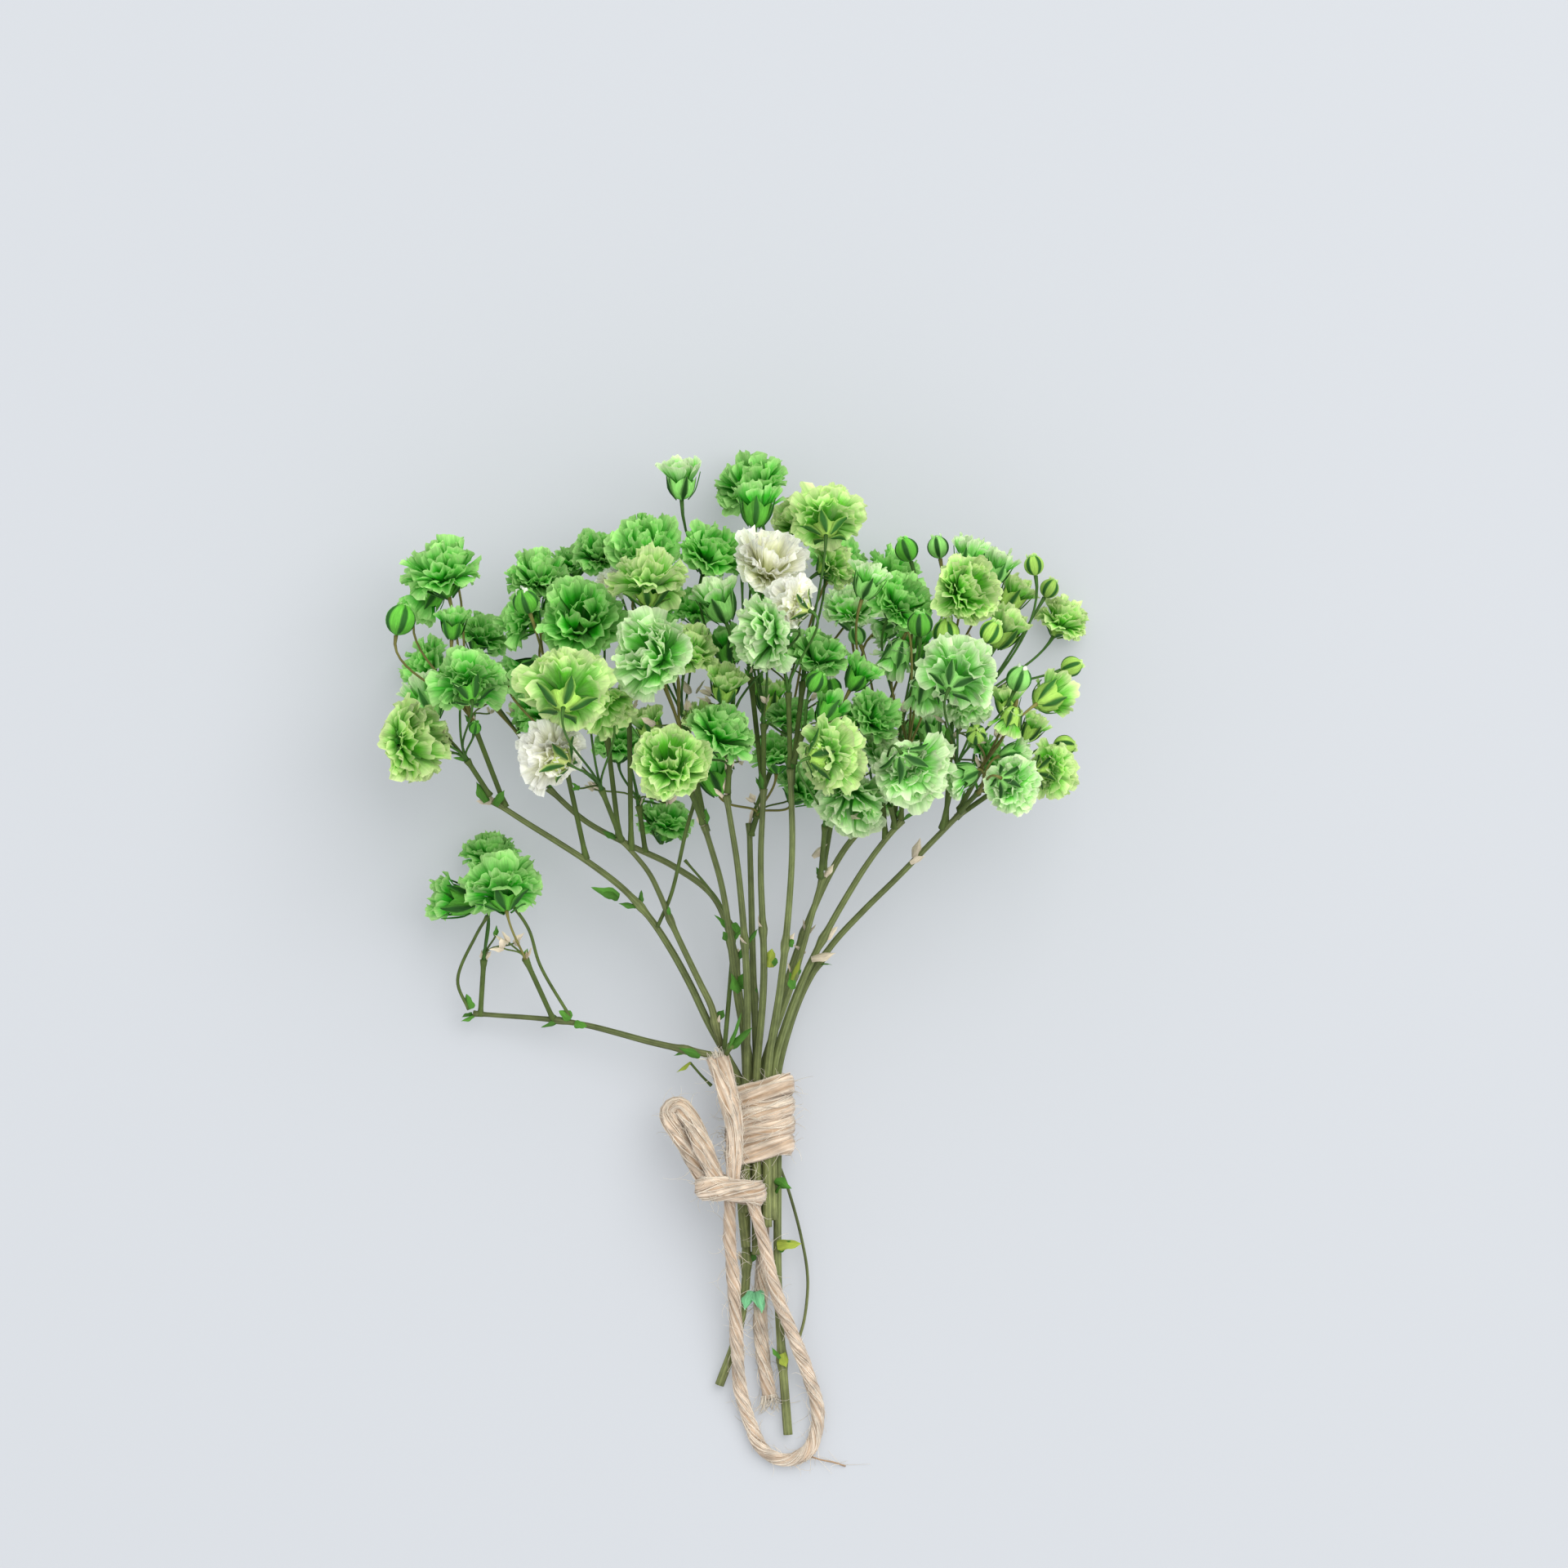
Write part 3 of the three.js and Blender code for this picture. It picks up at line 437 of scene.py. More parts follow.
def add_cupped_petals(shape, head, rng, colours):
    place = local_frame(head, any_angle(rng))
    for layer, count in HALF_LAYERS:
        start = rng.uniform(0, 2 * math.pi)
        for k in range(count):
            out = layer + rng.uniform(-0.14, 0.18)
            tip = [out, rng.uniform(1.66, 2.12) - 0.3 * out]
            bend = [min(0.72, 0.34 + 0.45 * out), 1.1]
            phi = start + (k + rng.uniform(-0.3, 0.3)) * 2 * math.pi / count
            add_petal(shape, place, rng, [0.22, 0.6], bend, tip, phi, rng.uniform(0.55, 0.75),
                      HALF_RUFFLE, colours, rng.uniform(0.84, 1.12))


def add_bud_petals(shape, head, rng, colours):
    place = local_frame(head, any_angle(rng))
    for k in range(BUD_PETALS):
        phi = k * 2 * math.pi / BUD_PETALS + rng.uniform(-0.2, 0.2)
        tip = [rng.uniform(0.08, 0.4), rng.uniform(1.85, 2.1)]
        add_petal(shape, place, rng, [0.4, 1.2], [0.5, 1.65], tip, phi, 0.42,
                  BUD_RUFFLE, colours, rng.uniform(0.9, 1.1))


# Outlines of the cup under the petals: distances from the axis, and heights.
CUP = {
    "full": ([0.06, 0.18, 0.27, 0.33, 0.38], [0, 0.07, 0.17, 0.26, 0.34]),
    "half": ([0.06, 0.3, 0.48, 0.56, 0.62], [0, 0.12, 0.4, 0.72, 1.02]),
    "bud": ([0.06, 0.5, 0.78, 0.84, 0.66, 0.34, 0.06], [0, 0.2, 0.58, 1.1, 1.5, 1.78, 1.92]),
}
NOTCH = {"full": 0.2, "half": 0.2, "bud": 0.02}  # how far the cup is cut in between two sepals
CUP_STRIPE = {"full": 0.0, "half": 0.24, "bud": 0.5}  # half width of its dark stripes, at their widest
STRIPE_BLUR = 0.16
RIB = 0.07  # how far the cup stands out at a sepal
# The free sepals, lens-shaped: their outline as above, and their width.
FREE_SEPALS = {
    "full": ([0.1, 0.3, 0.5, 0.72], [0.03, 0.18, 0.33, 0.42], 0.27),
    "half": ([0.22, 0.5, 0.64, 0.74], [0.08, 0.44, 0.86, 1.28], 0.32),
}
SEPALS = 5
CUP_COLUMNS = 40
CUP_ROWS = 13
SEPAL_ROWS = 7
SEPAL_COLUMNS = 5
OUTLINE_STEP = 0.02


def outline(distances, heights):
    """Shares of the way along a smooth curve through the points, and its distances and heights."""
    points = np.column_stack([distances, heights, np.zeros(len(heights))])
    curve, along = smooth_path(points, OUTLINE_STEP)
    return along / along[-1], curve[:, 0], curve[:, 1]


def add_calyx(shape, head, rng, pale, dark):
    """A pale ribbed cup with five dark sepals."""
    axes, origin = local_frame(head, any_angle(rng))
    kind = head["kind"]
    share, out, up = outline(*CUP[kind])
    t = np.linspace(0, 1, CUP_ROWS)[:, None]
    phi = np.linspace(0, 2 * math.pi, CUP_COLUMNS, endpoint=False)[None, :]
    off = np.abs(((phi * SEPALS / (2 * math.pi)) % 1) - 0.5) * 2  # 0 on a sepal's rib, 1 between two
    reach = t * (1 - NOTCH[kind] * off**1.6)
    distance = np.interp(reach, share, out) * (1 + RIB * (1 - off) * np.sin(math.pi * t))
    height = np.interp(reach, share, up)
    local = np.stack([distance * np.cos(phi), distance * np.sin(phi), height + 0 * phi], axis=-1)
    lens = CUP_STRIPE[kind] * np.sin(math.pi * np.clip(0.1 + 0.84 * t, 0, 1)) ** 0.7
    darkness = np.clip((lens - off) / STRIPE_BLUR, 0, 1)[..., None]
    tint = mixed(pale, dark, darkness)
    grain = stacked(np.cos(phi) * 2, np.sin(phi) * 2, t * 0.6)
    shape.grid(local @ axes + origin, tint * rng.uniform(0.85, 1.15), grain, closed=True)
    if kind in FREE_SEPALS:
        add_free_sepals(shape, axes, origin, rng, *FREE_SEPALS[kind], pale, dark)


def add_free_sepals(shape, axes, origin, rng, out, up, width, pale, dark):
    """The five sepals, lying as a star on the backs of the petals."""
    t = np.linspace(0, 1, SEPAL_ROWS)[:, None]
    u = np.linspace(-1, 1, SEPAL_COLUMNS)[None, :]
    share, out, up = outline(out, up)
    margin = (np.clip((np.abs(u) - 0.45) / 0.4, 0, 1) ** 1.5)[..., None] * 0.6
    for k in range(SEPALS):
        phi = (k + 0.5) * 2 * math.pi / SEPALS + rng.uniform(-0.08, 0.08)
        length = t * rng.uniform(0.88, 1.08)
        half = width / 2 * np.sin(math.pi * (0.06 + 0.92 * t)) * (1 + 0.1 * np.sin(t * 11 + k))
        side = u * half + 0.04 * np.sin(t * 3 + k)
        raised = 0.06 + 0.05 * (1 - u**2)
        away = np.interp(length, share, out) + raised * 0.6
        height = np.interp(length, share, up) - raised * 0.7
        local = stacked(away * math.cos(phi) - side * math.sin(phi),
                        away * math.sin(phi) + side * math.cos(phi), height)
        tint = mixed(dark, pale, margin) * (0.8 + 0.5 * t[..., None] * rng.random())
        sepal = np.full((1, 1), rng.uniform(0, 50))
        grain = stacked(u * 0.6, t * 0.5, sepal)
        shape.grid(local @ axes + origin, tint, grain)


BRACT_ROWS = 8
BRACT_COLUMNS = 5
BRACT_FOLD = 0.6  # how steeply its two halves stand


def add_bract(shape, rng, foot, direction, length, width, colour):
    """A small pointed scale, folded along its middle."""
    direction = unit(np.array(direction))
    side = unit(np.cross(direction, [rng.uniform(-1, 1), rng.uniform(-1, 1), rng.uniform(0.2, 1)]))
    back = np.cross(direction, side)
    t = np.linspace(0, 1, BRACT_ROWS)[:, None]
    u = np.linspace(-1, 1, BRACT_COLUMNS)[None, :]
    half = width / 2 * np.sin(math.pi * np.clip(0.25 + 0.75 * t, 0, 1)) ** 1.1
    half = half * (1 + 0.18 * np.sin(t * 9 + any_angle(rng)))
    curl = rng.uniform(0.05, 0.35) * length * t**2
    points = (np.array(foot) + direction * (t * length)[..., None] + side * (u * half)[..., None]
              + back * (np.abs(u) * half * BRACT_FOLD + curl)[..., None])
    tint = colour * (0.8 + 0.35 * t)[..., None] * np.ones_like(u)[..., None]
    bract = np.full((1, 1), rng.uniform(0, 50))
    shape.grid(points, tint, stacked(u, t * 0.5, bract))


# ---- Materials ----
def material(name, grain_scale, detail, spread, bump, roughness, sheen=0.0, translucent=0.0):
    """A dry plant or fibre surface: its vertices' colours, broken up by a fine noise along its grain."""
    mat = bpy.data.materials.new(name)
    mat.use_nodes = True
    nodes, links = mat.node_tree.nodes, mat.node_tree.links
    nodes.clear()

    def node(kind, inputs, **values):
        made = nodes.new(kind)
        for key, value in values.items():
            setattr(made, key, value)
        for key, value in inputs.items():
            made.inputs[key].default_value = value
        return made

    output = node("ShaderNodeOutputMaterial", {})
    shader = node("ShaderNodeBsdfPrincipled", {
        "Roughness": roughness, "Specular IOR Level": 0.25, "Sheen Weight": sheen})
    tint = node("ShaderNodeAttribute", {}, attribute_name="tint")
    grain = node("ShaderNodeAttribute", {}, attribute_name="grain")
    place = node("ShaderNodeNewGeometry", {})
    noise = node("ShaderNodeTexNoise", {
        "Scale": grain_scale, "Detail": detail, "Roughness": 0.6}, noise_dimensions="3D")
    patches = node("ShaderNodeTexNoise", {"Scale": 420.0, "Detail": 3.0}, noise_dimensions="3D")
    both = node("ShaderNodeMath", {}, operation="ADD")
    ramp = node("ShaderNodeMapRange", {
        "From Min": 0.75, "From Max": 1.25, "To Min": 1 - spread, "To Max": 1 + spread})
    shade = node("ShaderNodeVectorMath", {}, operation="SCALE")
    relief = node("ShaderNodeBump", {"Strength": bump, "Distance": 0.1 * MM})
    links.new(grain.outputs["Vector"], noise.inputs["Vector"])
    links.new(place.outputs["Position"], patches.inputs["Vector"])
    links.new(noise.outputs["Fac"], both.inputs[0])
    links.new(patches.outputs["Fac"], both.inputs[1])
    links.new(both.outputs[0], ramp.inputs["Value"])
    links.new(tint.outputs["Color"], shade.inputs[0])
    links.new(ramp.outputs["Result"], shade.inputs["Scale"])
    links.new(shade.outputs["Vector"], shader.inputs["Base Color"])
    links.new(noise.outputs["Fac"], relief.inputs["Height"])
    links.new(relief.outputs["Normal"], shader.inputs["Normal"])
    surface = shader.outputs[0]
    if translucent:
        glow = node("ShaderNodeBsdfTranslucent", {})
        mix = node("ShaderNodeMixShader", {"Fac": translucent})
        links.new(shade.outputs["Vector"], glow.inputs["Color"])
        links.new(surface, mix.inputs[1])
        links.new(glow.outputs[0], mix.inputs[2])
        surface = mix.outputs[0]
    links.new(surface, output.inputs["Surface"])
    return mat


PETAL = material("dyed_petal", 9.0, 4.0, 0.2, 0.5, 0.85, translucent=0.38)
GREENS = material("dry_green", 6.0, 4.0, 0.28, 0.6, 0.7, translucent=0.08)
STEM_SKIN = material("stem_skin", 5.0, 5.0, 0.3, 0.7, 0.62)
TWINE = material("jute", 5.0, 6.0, 0.3, 0.9, 0.92, sheen=0.3)

# ---- Camera ----
# The twine's turns are centred just beside the middle of the tie.
wrap_low, wrap_high = (Vector(corner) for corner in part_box("twine_wrap"))
TIE = (wrap_low + wrap_high) / 2 - Vector((-0.275, 0.4, 0)) * MM
TIE.z = 0
VIEW_CENTRE = TIE + Vector((2.25, 35, 0)) * MM
VIEW_WIDTH = 160 * MM
VIEW_WIDTH_AT = 15 * MM  # the height that the view is so wide at
CAMERA_HEIGHT = 1.5
SENSOR_WIDTH = 36


def add_camera():
    data = bpy.data.cameras.new("camera")
    data.sensor_width = SENSOR_WIDTH
    data.lens = SENSOR_WIDTH * (CAMERA_HEIGHT - VIEW_WIDTH_AT) / VIEW_WIDTH
    data.clip_end = 20
    camera = bpy.data.objects.new("camera", data)
    camera.location = VIEW_CENTRE + Vector((0, 0, CAMERA_HEIGHT))
    bpy.context.scene.collection.objects.link(camera)
    bpy.context.scene.camera = camera


add_camera()

# ---- Twine ----
# Routes of the twine in millimetres from the middle of the tie, as in the CAD.
ON_SURFACE = 0.98  # height of the middle of twine that lies on the surface
OVER_TURNS = 7.95  # and of twine that lies on the turns
LOOP_LOW = 0.86
LOOP = (
    (-3.3, -8.2, 6.2), (-3.3, -11.7, 5.2), (-2.9, -16.7, 3.6), (-2.6, -22.5, 2.6),
    (-2.2, -27.5, 1.5), (-1.1, -31.2, LOOP_LOW), (0.1, -33.6, LOOP_LOW), (2.4, -34.65, LOOP_LOW),
    (4.7, -33.7, LOOP_LOW), (5.7, -31.2, LOOP_LOW), (5.6, -28.7, 1), (4.8, -26, 1.6),
    (3.4, -22.2, 2.8), (1.5, -17.5, 4.2), (0.3, -12.5, 5.7), (-0.9, -8.1, 6.3),
)
LOOP_IN_KNOT = ((-3.2, -6.9, 6.6), (-1.2, -6.9, 6.7))  # where its two ends go, inside the knot
EAR = (
    (-5.6, -5.9, 6.6), (-7.5, -2.4, 6), (-9.3, 0.4, 5.4), (-9.4, 1.5, 5.3), (-8.5, 1.9, 5.6),
    (-7.5, 0.8, 6.2), (-6.2, -1.9, 7.2), (-4.9, -5, 7.6), (-4.3, -6.3, 7.4),
)
END_TOP = (
    (-4.6, 7, OVER_TURNS - 1.2), (-4, 5, OVER_TURNS - 0.4), (-3.1, 1.5, OVER_TURNS + 0.1),
    (-2.8, -1.5, OVER_TURNS + 0.2), (-2.9, -5, OVER_TURNS), (-3, -6.4, OVER_TURNS - 0.3),
)
END_TAIL = (
    (-0.1, -7.4, ON_SURFACE), (0.1, -11, ON_SURFACE), (0, -16, ON_SURFACE), (-0.2, -20, ON_SURFACE),
    (0.1, -24, ON_SURFACE), (0.8, -28.3, ON_SURFACE),
)
KNOT_BAND = (
    (-3.4, -6.3, 5.2), (-6, -6.2, 5.8), (-6.2, -6.4, 7.2), (-3.6, -6.5, 8.1), (-0.9, -6.9, 7.6),
    (-0.2, -7, 6.3), (-2.6, -7, 5.3),
)
LOOP_WISP = ((4.3, -34, 0.9), (6, -34.6, 0.6), (7.4, -34.9, 0.4), (8.6, -35.3, 0.15))
TWINE_WIDTH = 1.9 * MM
LOOP_WIDTH = 1.56 * MM
TURNS = 4
TURN_POINTS = 36
TIGHTER = 0.5 * MM
SQUARENESS = 0.6
WRAP_TILT = (0.7, 0.2, 0.2, 0.6)  # how far each turn's front rises to the right, in mm


def in_frame(points):
    return np.array(points) * MM + np.array(TIE)


def wrap_route():
    """The turns round the stems, drawn tighter than the CAD's and leaning across in front."""
    middle = np.array((wrap_low + wrap_high) / 2)
    half = np.array((wrap_high - wrap_low) / 2) - TWINE_WIDTH / 2
    top = wrap_high.y - TWINE_WIDTH / 2
    pitch = 2 * half[1] / TURNS
    half[[0, 2]] -= TIGHTER
    angle = np.linspace(0, TURNS * 2 * math.pi, TURNS * TURN_POINTS + 1)
    tilt = np.interp(angle / (2 * math.pi) - 0.5, range(TURNS), WRAP_TILT) * MM

    def eased(value):
        return np.sign(value) * np.abs(value) ** SQUARENESS

    across, up = eased(np.sin(angle)), eased(-np.cos(angle))
    return np.stack([
        middle[0] + half[0] * across,
        top - pitch * angle / (2 * math.pi) + tilt * across * np.clip(up, 0, 1),
        middle[2] + half[2] * up,
    ], axis=1)


def strand_frames(line, outward):
    """Tangents, the direction across the flattened strand, and the one out of its flat side."""
    tangents = unit(np.gradient(line, axis=0))
    across = unit(np.cross(tangents, outward))
    return tangents, across, np.cross(across, tangents)


def upward(line):
    return np.broadcast_to([0.0, 0.0, 1.0], line.shape)


def out_of_bundle(line):
    middle = np.array((wrap_low + wrap_high) / 2)
    return unit((line - middle) * [1, 0, 1])


STRAND_COLUMNS = 36
STRAND_STEP = 0.4 * MM
BODY = 0.9  # share of a strand's width that its grooved body fills, inside its loose fibres
LOOSE_FIBRES = 26
SHORTEST_FIBRE = 4  # in steps
FIBRE_RADIUS = (0.045, 0.085)  # in mm
FIBRE_SHADES = 0.6
END_SHADE = 0.6


def add_strand(shape, route, width, flatness, twist, seed, outward=upward):
    """Soft spun jute: a grooved body, thicker across than through, with loose fibres lying along it.

    width is one value or one for each end, flatness is its thickness against its width, and
    twist is the length of one full turn of its fibres.
    """
    line, along = smooth_path(route, STRAND_STEP)
    run = along / MM
    rng = random.Random(seed)
    _, across, over = strand_frames(line, outward(line))
    half = np.interp(along / along[-1], [0, 1], np.broadcast_to(width, 2)) / 2
    half = half * (1 + 0.05 * np.sin(run * 1.1 + any_angle(rng)))
    turn = along / twist * 2 * math.pi + any_angle(rng)

    angles = np.linspace(0, 2 * math.pi, STRAND_COLUMNS, endpoint=False)[None, :]
    spun = angles - turn[:, None]
    drift = run[:, None]
    lumps = [any_angle(rng) for _ in range(4)]
    groove = (0.05 * np.sin(5 * spun + lumps[0]) + 0.04 * np.sin(9 * spun + lumps[1] + drift * 0.4)
              + 0.03 * np.sin(14 * spun + lumps[2] - drift * 0.7))
    reach = half[:, None] * BODY * (1 + groove)
    points = (line[:, None] + (reach * np.cos(angles))[..., None] * across[:, None]
              + (reach * flatness * np.sin(angles))[..., None] * over[:, None])
    # painted shade: the body is darker down in its grooves and lighter on its ridges
    clear_of_groove_shade = np.clip(0.5 + groove * 5, 0, 1)[..., None]
    tint = mixed(JUTE_DARK, JUTE, clear_of_groove_shade)
    grain = stacked(np.cos(spun) * 1.5, np.sin(spun) * 1.5, drift * 0.12)
    ends = [closed_end(points[i], line[i], line[i], left_open=1e-3) for i in (0, -1)]
    points = np.concatenate([ends[0], points, ends[1]])
    tint = np.concatenate([tint[:1] * END_SHADE, tint, tint[-1:] * END_SHADE])
    grain = np.concatenate([grain[:1], grain, grain[-1:]])
    shape.grid(points, tint, grain, closed=True)

    for k in range(LOOSE_FIBRES):
        sway = 0.35 * np.sin(run * rng.uniform(0.3, 0.9) + any_angle(rng))
        angle = turn + 2 * math.pi * k / LOOSE_FIBRES + sway
        lift = half * (0.93 + 0.06 * np.sin(run * rng.uniform(0.5, 1.5) + any_angle(rng)))
        fibre = (line + (lift * np.cos(angle))[:, None] * across
                 + (lift * flatness * np.sin(angle))[:, None] * over)
        third = max(1, len(line) // 3)
        first = rng.randrange(third)
        last = len(line) - rng.randrange(third)
        if last - first < SHORTEST_FIBRE:
            continue
        shade = FIBRE_SHADES * rng.random()
        colour = mixed(JUTE, JUTE_LIGHT if k % 3 else JUTE_DARK, shade)
        radius = rng.uniform(*FIBRE_RADIUS) * MM
        fibre[:, 2] = np.maximum(fibre[:, 2], radius)
        add_tube(shape, fibre[first:last], radius, 5, colour, run[first:last] * 0.2)


FUZZ_STEP = 0.35 * MM
FUZZ_ROWS = 7
LOWEST_FUZZ = 0.03 * MM


def add_fibre(shape, rng, foot, direction, length, thickness=0.025 * MM):
    """One curved fibre that stands out from the twine."""
    direction = unit(np.array(direction))
    aside = unit(np.cross(direction, [rng.uniform(-1, 1) for _ in range(3)]))
    bend = aside * length * rng.uniform(-0.8, 0.8)
    t = np.linspace(0, 1, FUZZ_ROWS)[:, None]
    line = np.array(foot) + direction * length * (t - 0.3 * t**3) + bend * t**2
    line[:, 2] = np.maximum(line[:, 2], LOWEST_FUZZ)
    radii = thickness * (1 - 0.6 * t[:, 0])
    tint = JUTE_LIGHT * rng.uniform(0.85, 1.1)
    add_tube(shape, line, radii, 4, tint, t[:, 0] * 0.3, capped=False)


def add_fuzz(shape, route, width, count, seed):
    """Fibres that stand out all along a strand."""
    line, _ = smooth_path(route, FUZZ_STEP)
    tangents, across, over = frames_along(line)
    rng = random.Random(seed)
    for _ in range(count):
        i = rng.randrange(1, len(line) - 1)
        angle = rng.uniform(0, 2 * math.pi)
        outward = math.cos(angle) * across[i] + math.sin(angle) * over[i]
        lean = rng.choice((-1, 1)) * rng.uniform(0.6, 2.2)
        add_fibre(shape, rng, line[i] + outward * width * 0.38, outward + lean * tangents[i],
                  rng.uniform(0.8, 3.2) * MM)


def add_fray(shape, route, at_start, width, count, reach, seed):
    """The brush of loose fibres at a cut end."""
    line, _ = smooth_path(route, FUZZ_STEP)
    tangents, across, over = frames_along(line)
    i, sign = (0, -1) if at_start else (-1, 1)
    rng = random.Random(seed)
    for _ in range(count):
        angle = rng.uniform(0, 2 * math.pi)
        out = math.sqrt(rng.uniform(0, 1)) * width * 0.45
        around = math.cos(angle) * across[i] + math.sin(angle) * over[i]
        foot = line[i] + around * out - sign * tangents[i] * 0.4 * MM
        spread = sign * tangents[i] + around * rng.uniform(0.0, 0.55)
        add_fibre(shape, rng, foot, spread, reach * rng.uniform(0.4, 1.1), 0.05 * MM)


def build_loop():
    """The free bow loop: leaves the knot, lies on the surface and goes back into the knot."""
    shape = Shape()
    path = in_frame(LOOP)
    start, end = LOOP_IN_KNOT
    add_strand(shape, in_frame((start, *LOOP, end)), LOOP_WIDTH * 0.86, 0.9, 9 * MM, "loop")
    loop = shape.piece("twine_loop_strand", TWINE)
    length = float(smooth_path(path, STRAND_STEP)[1][-1])
    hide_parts("twine_loop")


build_loop()


# How many fibres stand out.
WRAP_FUZZ = 220
FUZZ = 110
LOOP_FUZZ = 200
WISP_FUZZ = 12
FRAY = 70


def build_twine():
    # Each node's route, width at its ends, flatness and twist.
    strands = {
        "twine_wrap": (wrap_route(), 2.4 * MM, 0.5, 45 * MM, out_of_bundle),
        "twine_ear": (in_frame(EAR), (2.1 * MM, 1.9 * MM), 0.7, 26 * MM, upward),
        "twine_end_top": (in_frame(END_TOP), (2.5 * MM, 1.3 * MM), 0.6, 40 * MM, upward),
        "twine_end_tail": (in_frame(END_TAIL), (1.3 * MM, 1.5 * MM), 0.8, 12 * MM, upward),
        "twine_knot": (in_frame(KNOT_BAND), 2.5 * MM, 0.55, 24 * MM, upward_or_out),
    }
    fuzz = Shape()
    for node, (route, width, flatness, twist, outward) in strands.items():
        shape = Shape()
        add_strand(shape, route, width, flatness, twist, node, outward)
        piece = shape.piece(node + "_strand", TWINE)
        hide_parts(node)
        add_fuzz(fuzz, route, 2 * MM, WRAP_FUZZ if node == "twine_wrap" else FUZZ, node)
    add_fuzz(fuzz, in_frame(LOOP), LOOP_WIDTH, LOOP_FUZZ, "loop")
    add_fuzz(fuzz, in_frame(LOOP_WISP), 0.3 * MM, WISP_FUZZ, "wisp")
    wisp, along = smooth_path(in_frame(LOOP_WISP), 0.3 * MM)
    add_tube(fuzz, wisp, 0.1 * MM, 5, JUTE_DARK, along / MM * 0.2)
    add_fray(fuzz, in_frame(END_TOP), True, 2.2 * MM, FRAY, 1.5 * MM, "top")
    add_fray(fuzz, in_frame(END_TAIL), False, TWINE_WIDTH, FRAY, 2.6 * MM, "tail")
    piece = fuzz.piece("twine_fuzz", TWINE)


def upward_or_out(line):
    """Out of the ring that the knot's band makes."""
    middle = line.mean(axis=0)
    return unit((line - middle) * [1, 0, 1])


build_twine()

# ---- Stems ----
RIDGES = 7
RIDGE_TWIST = 0.03  # radians in a millimetre
STEM_SIDES = 22
FINE_SIDES = 8
STEM_STEP = 0.55 * MM
TAPER = 0.17
JOINT_SWELL = 0.45
JOINT_LENGTH = 0.75 * MM
SHOOT_SHADE = 0.8
# Where the long shoots go on to, in millimetres from the tie.
FEET = {
    "loose_shoot": ((-3.9, 6.9, 5),),
    "inner_shoot": ((-4.2, 8, 5.2), (-4.7, 9.9, 6.4)),
    "curved_shoot": ((1.9, -4.6, 1.3),),
}


def build_stem(node):
    """A ridged stem with swollen, bracted joints and a cut end."""
    rng = random.Random(node)
    line, radii = read_bar(node)
    fine = node == "curved_shoot"
    if node in FEET:  # grows on, back into the stem or the tie that it comes from
        foot = in_frame(FEET[node])
        line = np.vstack([line, foot] if fine else [foot, line])
        radii = np.pad(radii, (0, len(foot)) if fine else (len(foot), 0), mode="edge")
    path, along = smooth_path(line, STEM_STEP)
    share = along / along[-1]
    radius = np.interp(share, np.linspace(0, 1, len(radii)), radii) * (0.94 - TAPER * share)
    joints = [] if fine else [along[-1]]
    if not fine:
        joints += [along[-1] * s for s in (rng.uniform(0.1, 0.2), rng.uniform(0.58, 0.72))]
    for joint in joints:
        radius = radius * (1 + JOINT_SWELL * np.exp(-((along - joint) / JOINT_LENGTH) ** 2))
    drift = any_angle(rng) + along[:, None] / MM * RIDGE_TWIST

    def ridge(around, _):
        return 0.05 * np.cos(RIDGES * (around + drift)) + 0.03 * np.cos(3 * around + 2 * drift)

    sides = FINE_SIDES if fine else STEM_SIDES
    around = np.linspace(0, 2 * math.pi, sides, endpoint=False)[None, :]
    # painted shade: the skin is darker in the grooves between the ridges
    groove = (0.5 - 0.5 * np.cos(RIDGES * (around + drift)))[..., None]
    green = STEM * rng.uniform(0.85, 1.15)
    straw = np.clip(0.55 - share * 1.3, 0, 0.45)[:, None, None]
    tint = mixed(green, STEM_STRAW, straw)
    tint = mixed(tint, STEM_GROOVE_SHADE, 0.5 * groove)
    if node.endswith("shoot"):
        tint = tint * SHOOT_SHADE
    shape = Shape()
    add_tube(shape, path, radius, sides, tint, along / MM * 0.25 + rng.uniform(0, 30), ridge)
    for joint in joints:
        i = int(np.argmin(np.abs(along - joint)))
        tangent = unit(path[min(i + 1, len(path) - 1)] - path[i - 1])
        for _ in range(2):
            outward = unit(np.cross(tangent, [rng.uniform(-1, 1) for _ in range(3)]))
            colour = rng.choice((BRACT_CREAM, BRACT_GREEN, BRACT_GREEN * 0.7))
            aim = tangent + outward * rng.uniform(0.3, 0.9)
            add_bract(shape, rng, path[i] + outward * radius[i] * 0.6, aim,
                      rng.uniform(1.0, 1.9) * MM, rng.uniform(0.5, 0.9) * MM, colour)
    piece = shape.piece(node + "_ridged", STEM_SKIN)
    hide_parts(node)


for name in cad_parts:
    if name.startswith("stem_") or name.endswith("shoot"):
        build_stem(name)


# ---- Sprigs ----
# Heads dyed otherwise than the rest of their sprig, by their place in millimetres from the tie.
OTHER_DYE = (
    ("undyed", -20.5, 39), ("lime", -11.3, 55.6), ("green", -5.9, 58.6), ("green", -2.3, 65),
    ("green", -1.1, 60.4), ("lime", -6.9, 48.6), ("mint", -34.8, 44.2), ("lime", -34, 39.2),
    ("green", -3.4, 49.6), ("green", -3.9, 39.4), ("mint", 9.1, 32.8), ("green", -10.4, 51.6),
)
DYE_REACH = 2.4 * MM
SPENT_STALKS = 2  # on one sprig
SPENT_POINTS = 8
SHOOT_POINTS = 16
SPRIG_SCALES = 3  # at its fork
GOLD_SHARE = 0.35
UNDYED_BUDS = 0.3


def dye_of(head, usual):
    middle = head["base"] + head["axis"] * head["radius"] - TIE
    for dye, x, y in OTHER_DYE:
        if math.hypot(middle.x - x * MM, middle.y - y * MM) < DYE_REACH:
            return dye
    return usual


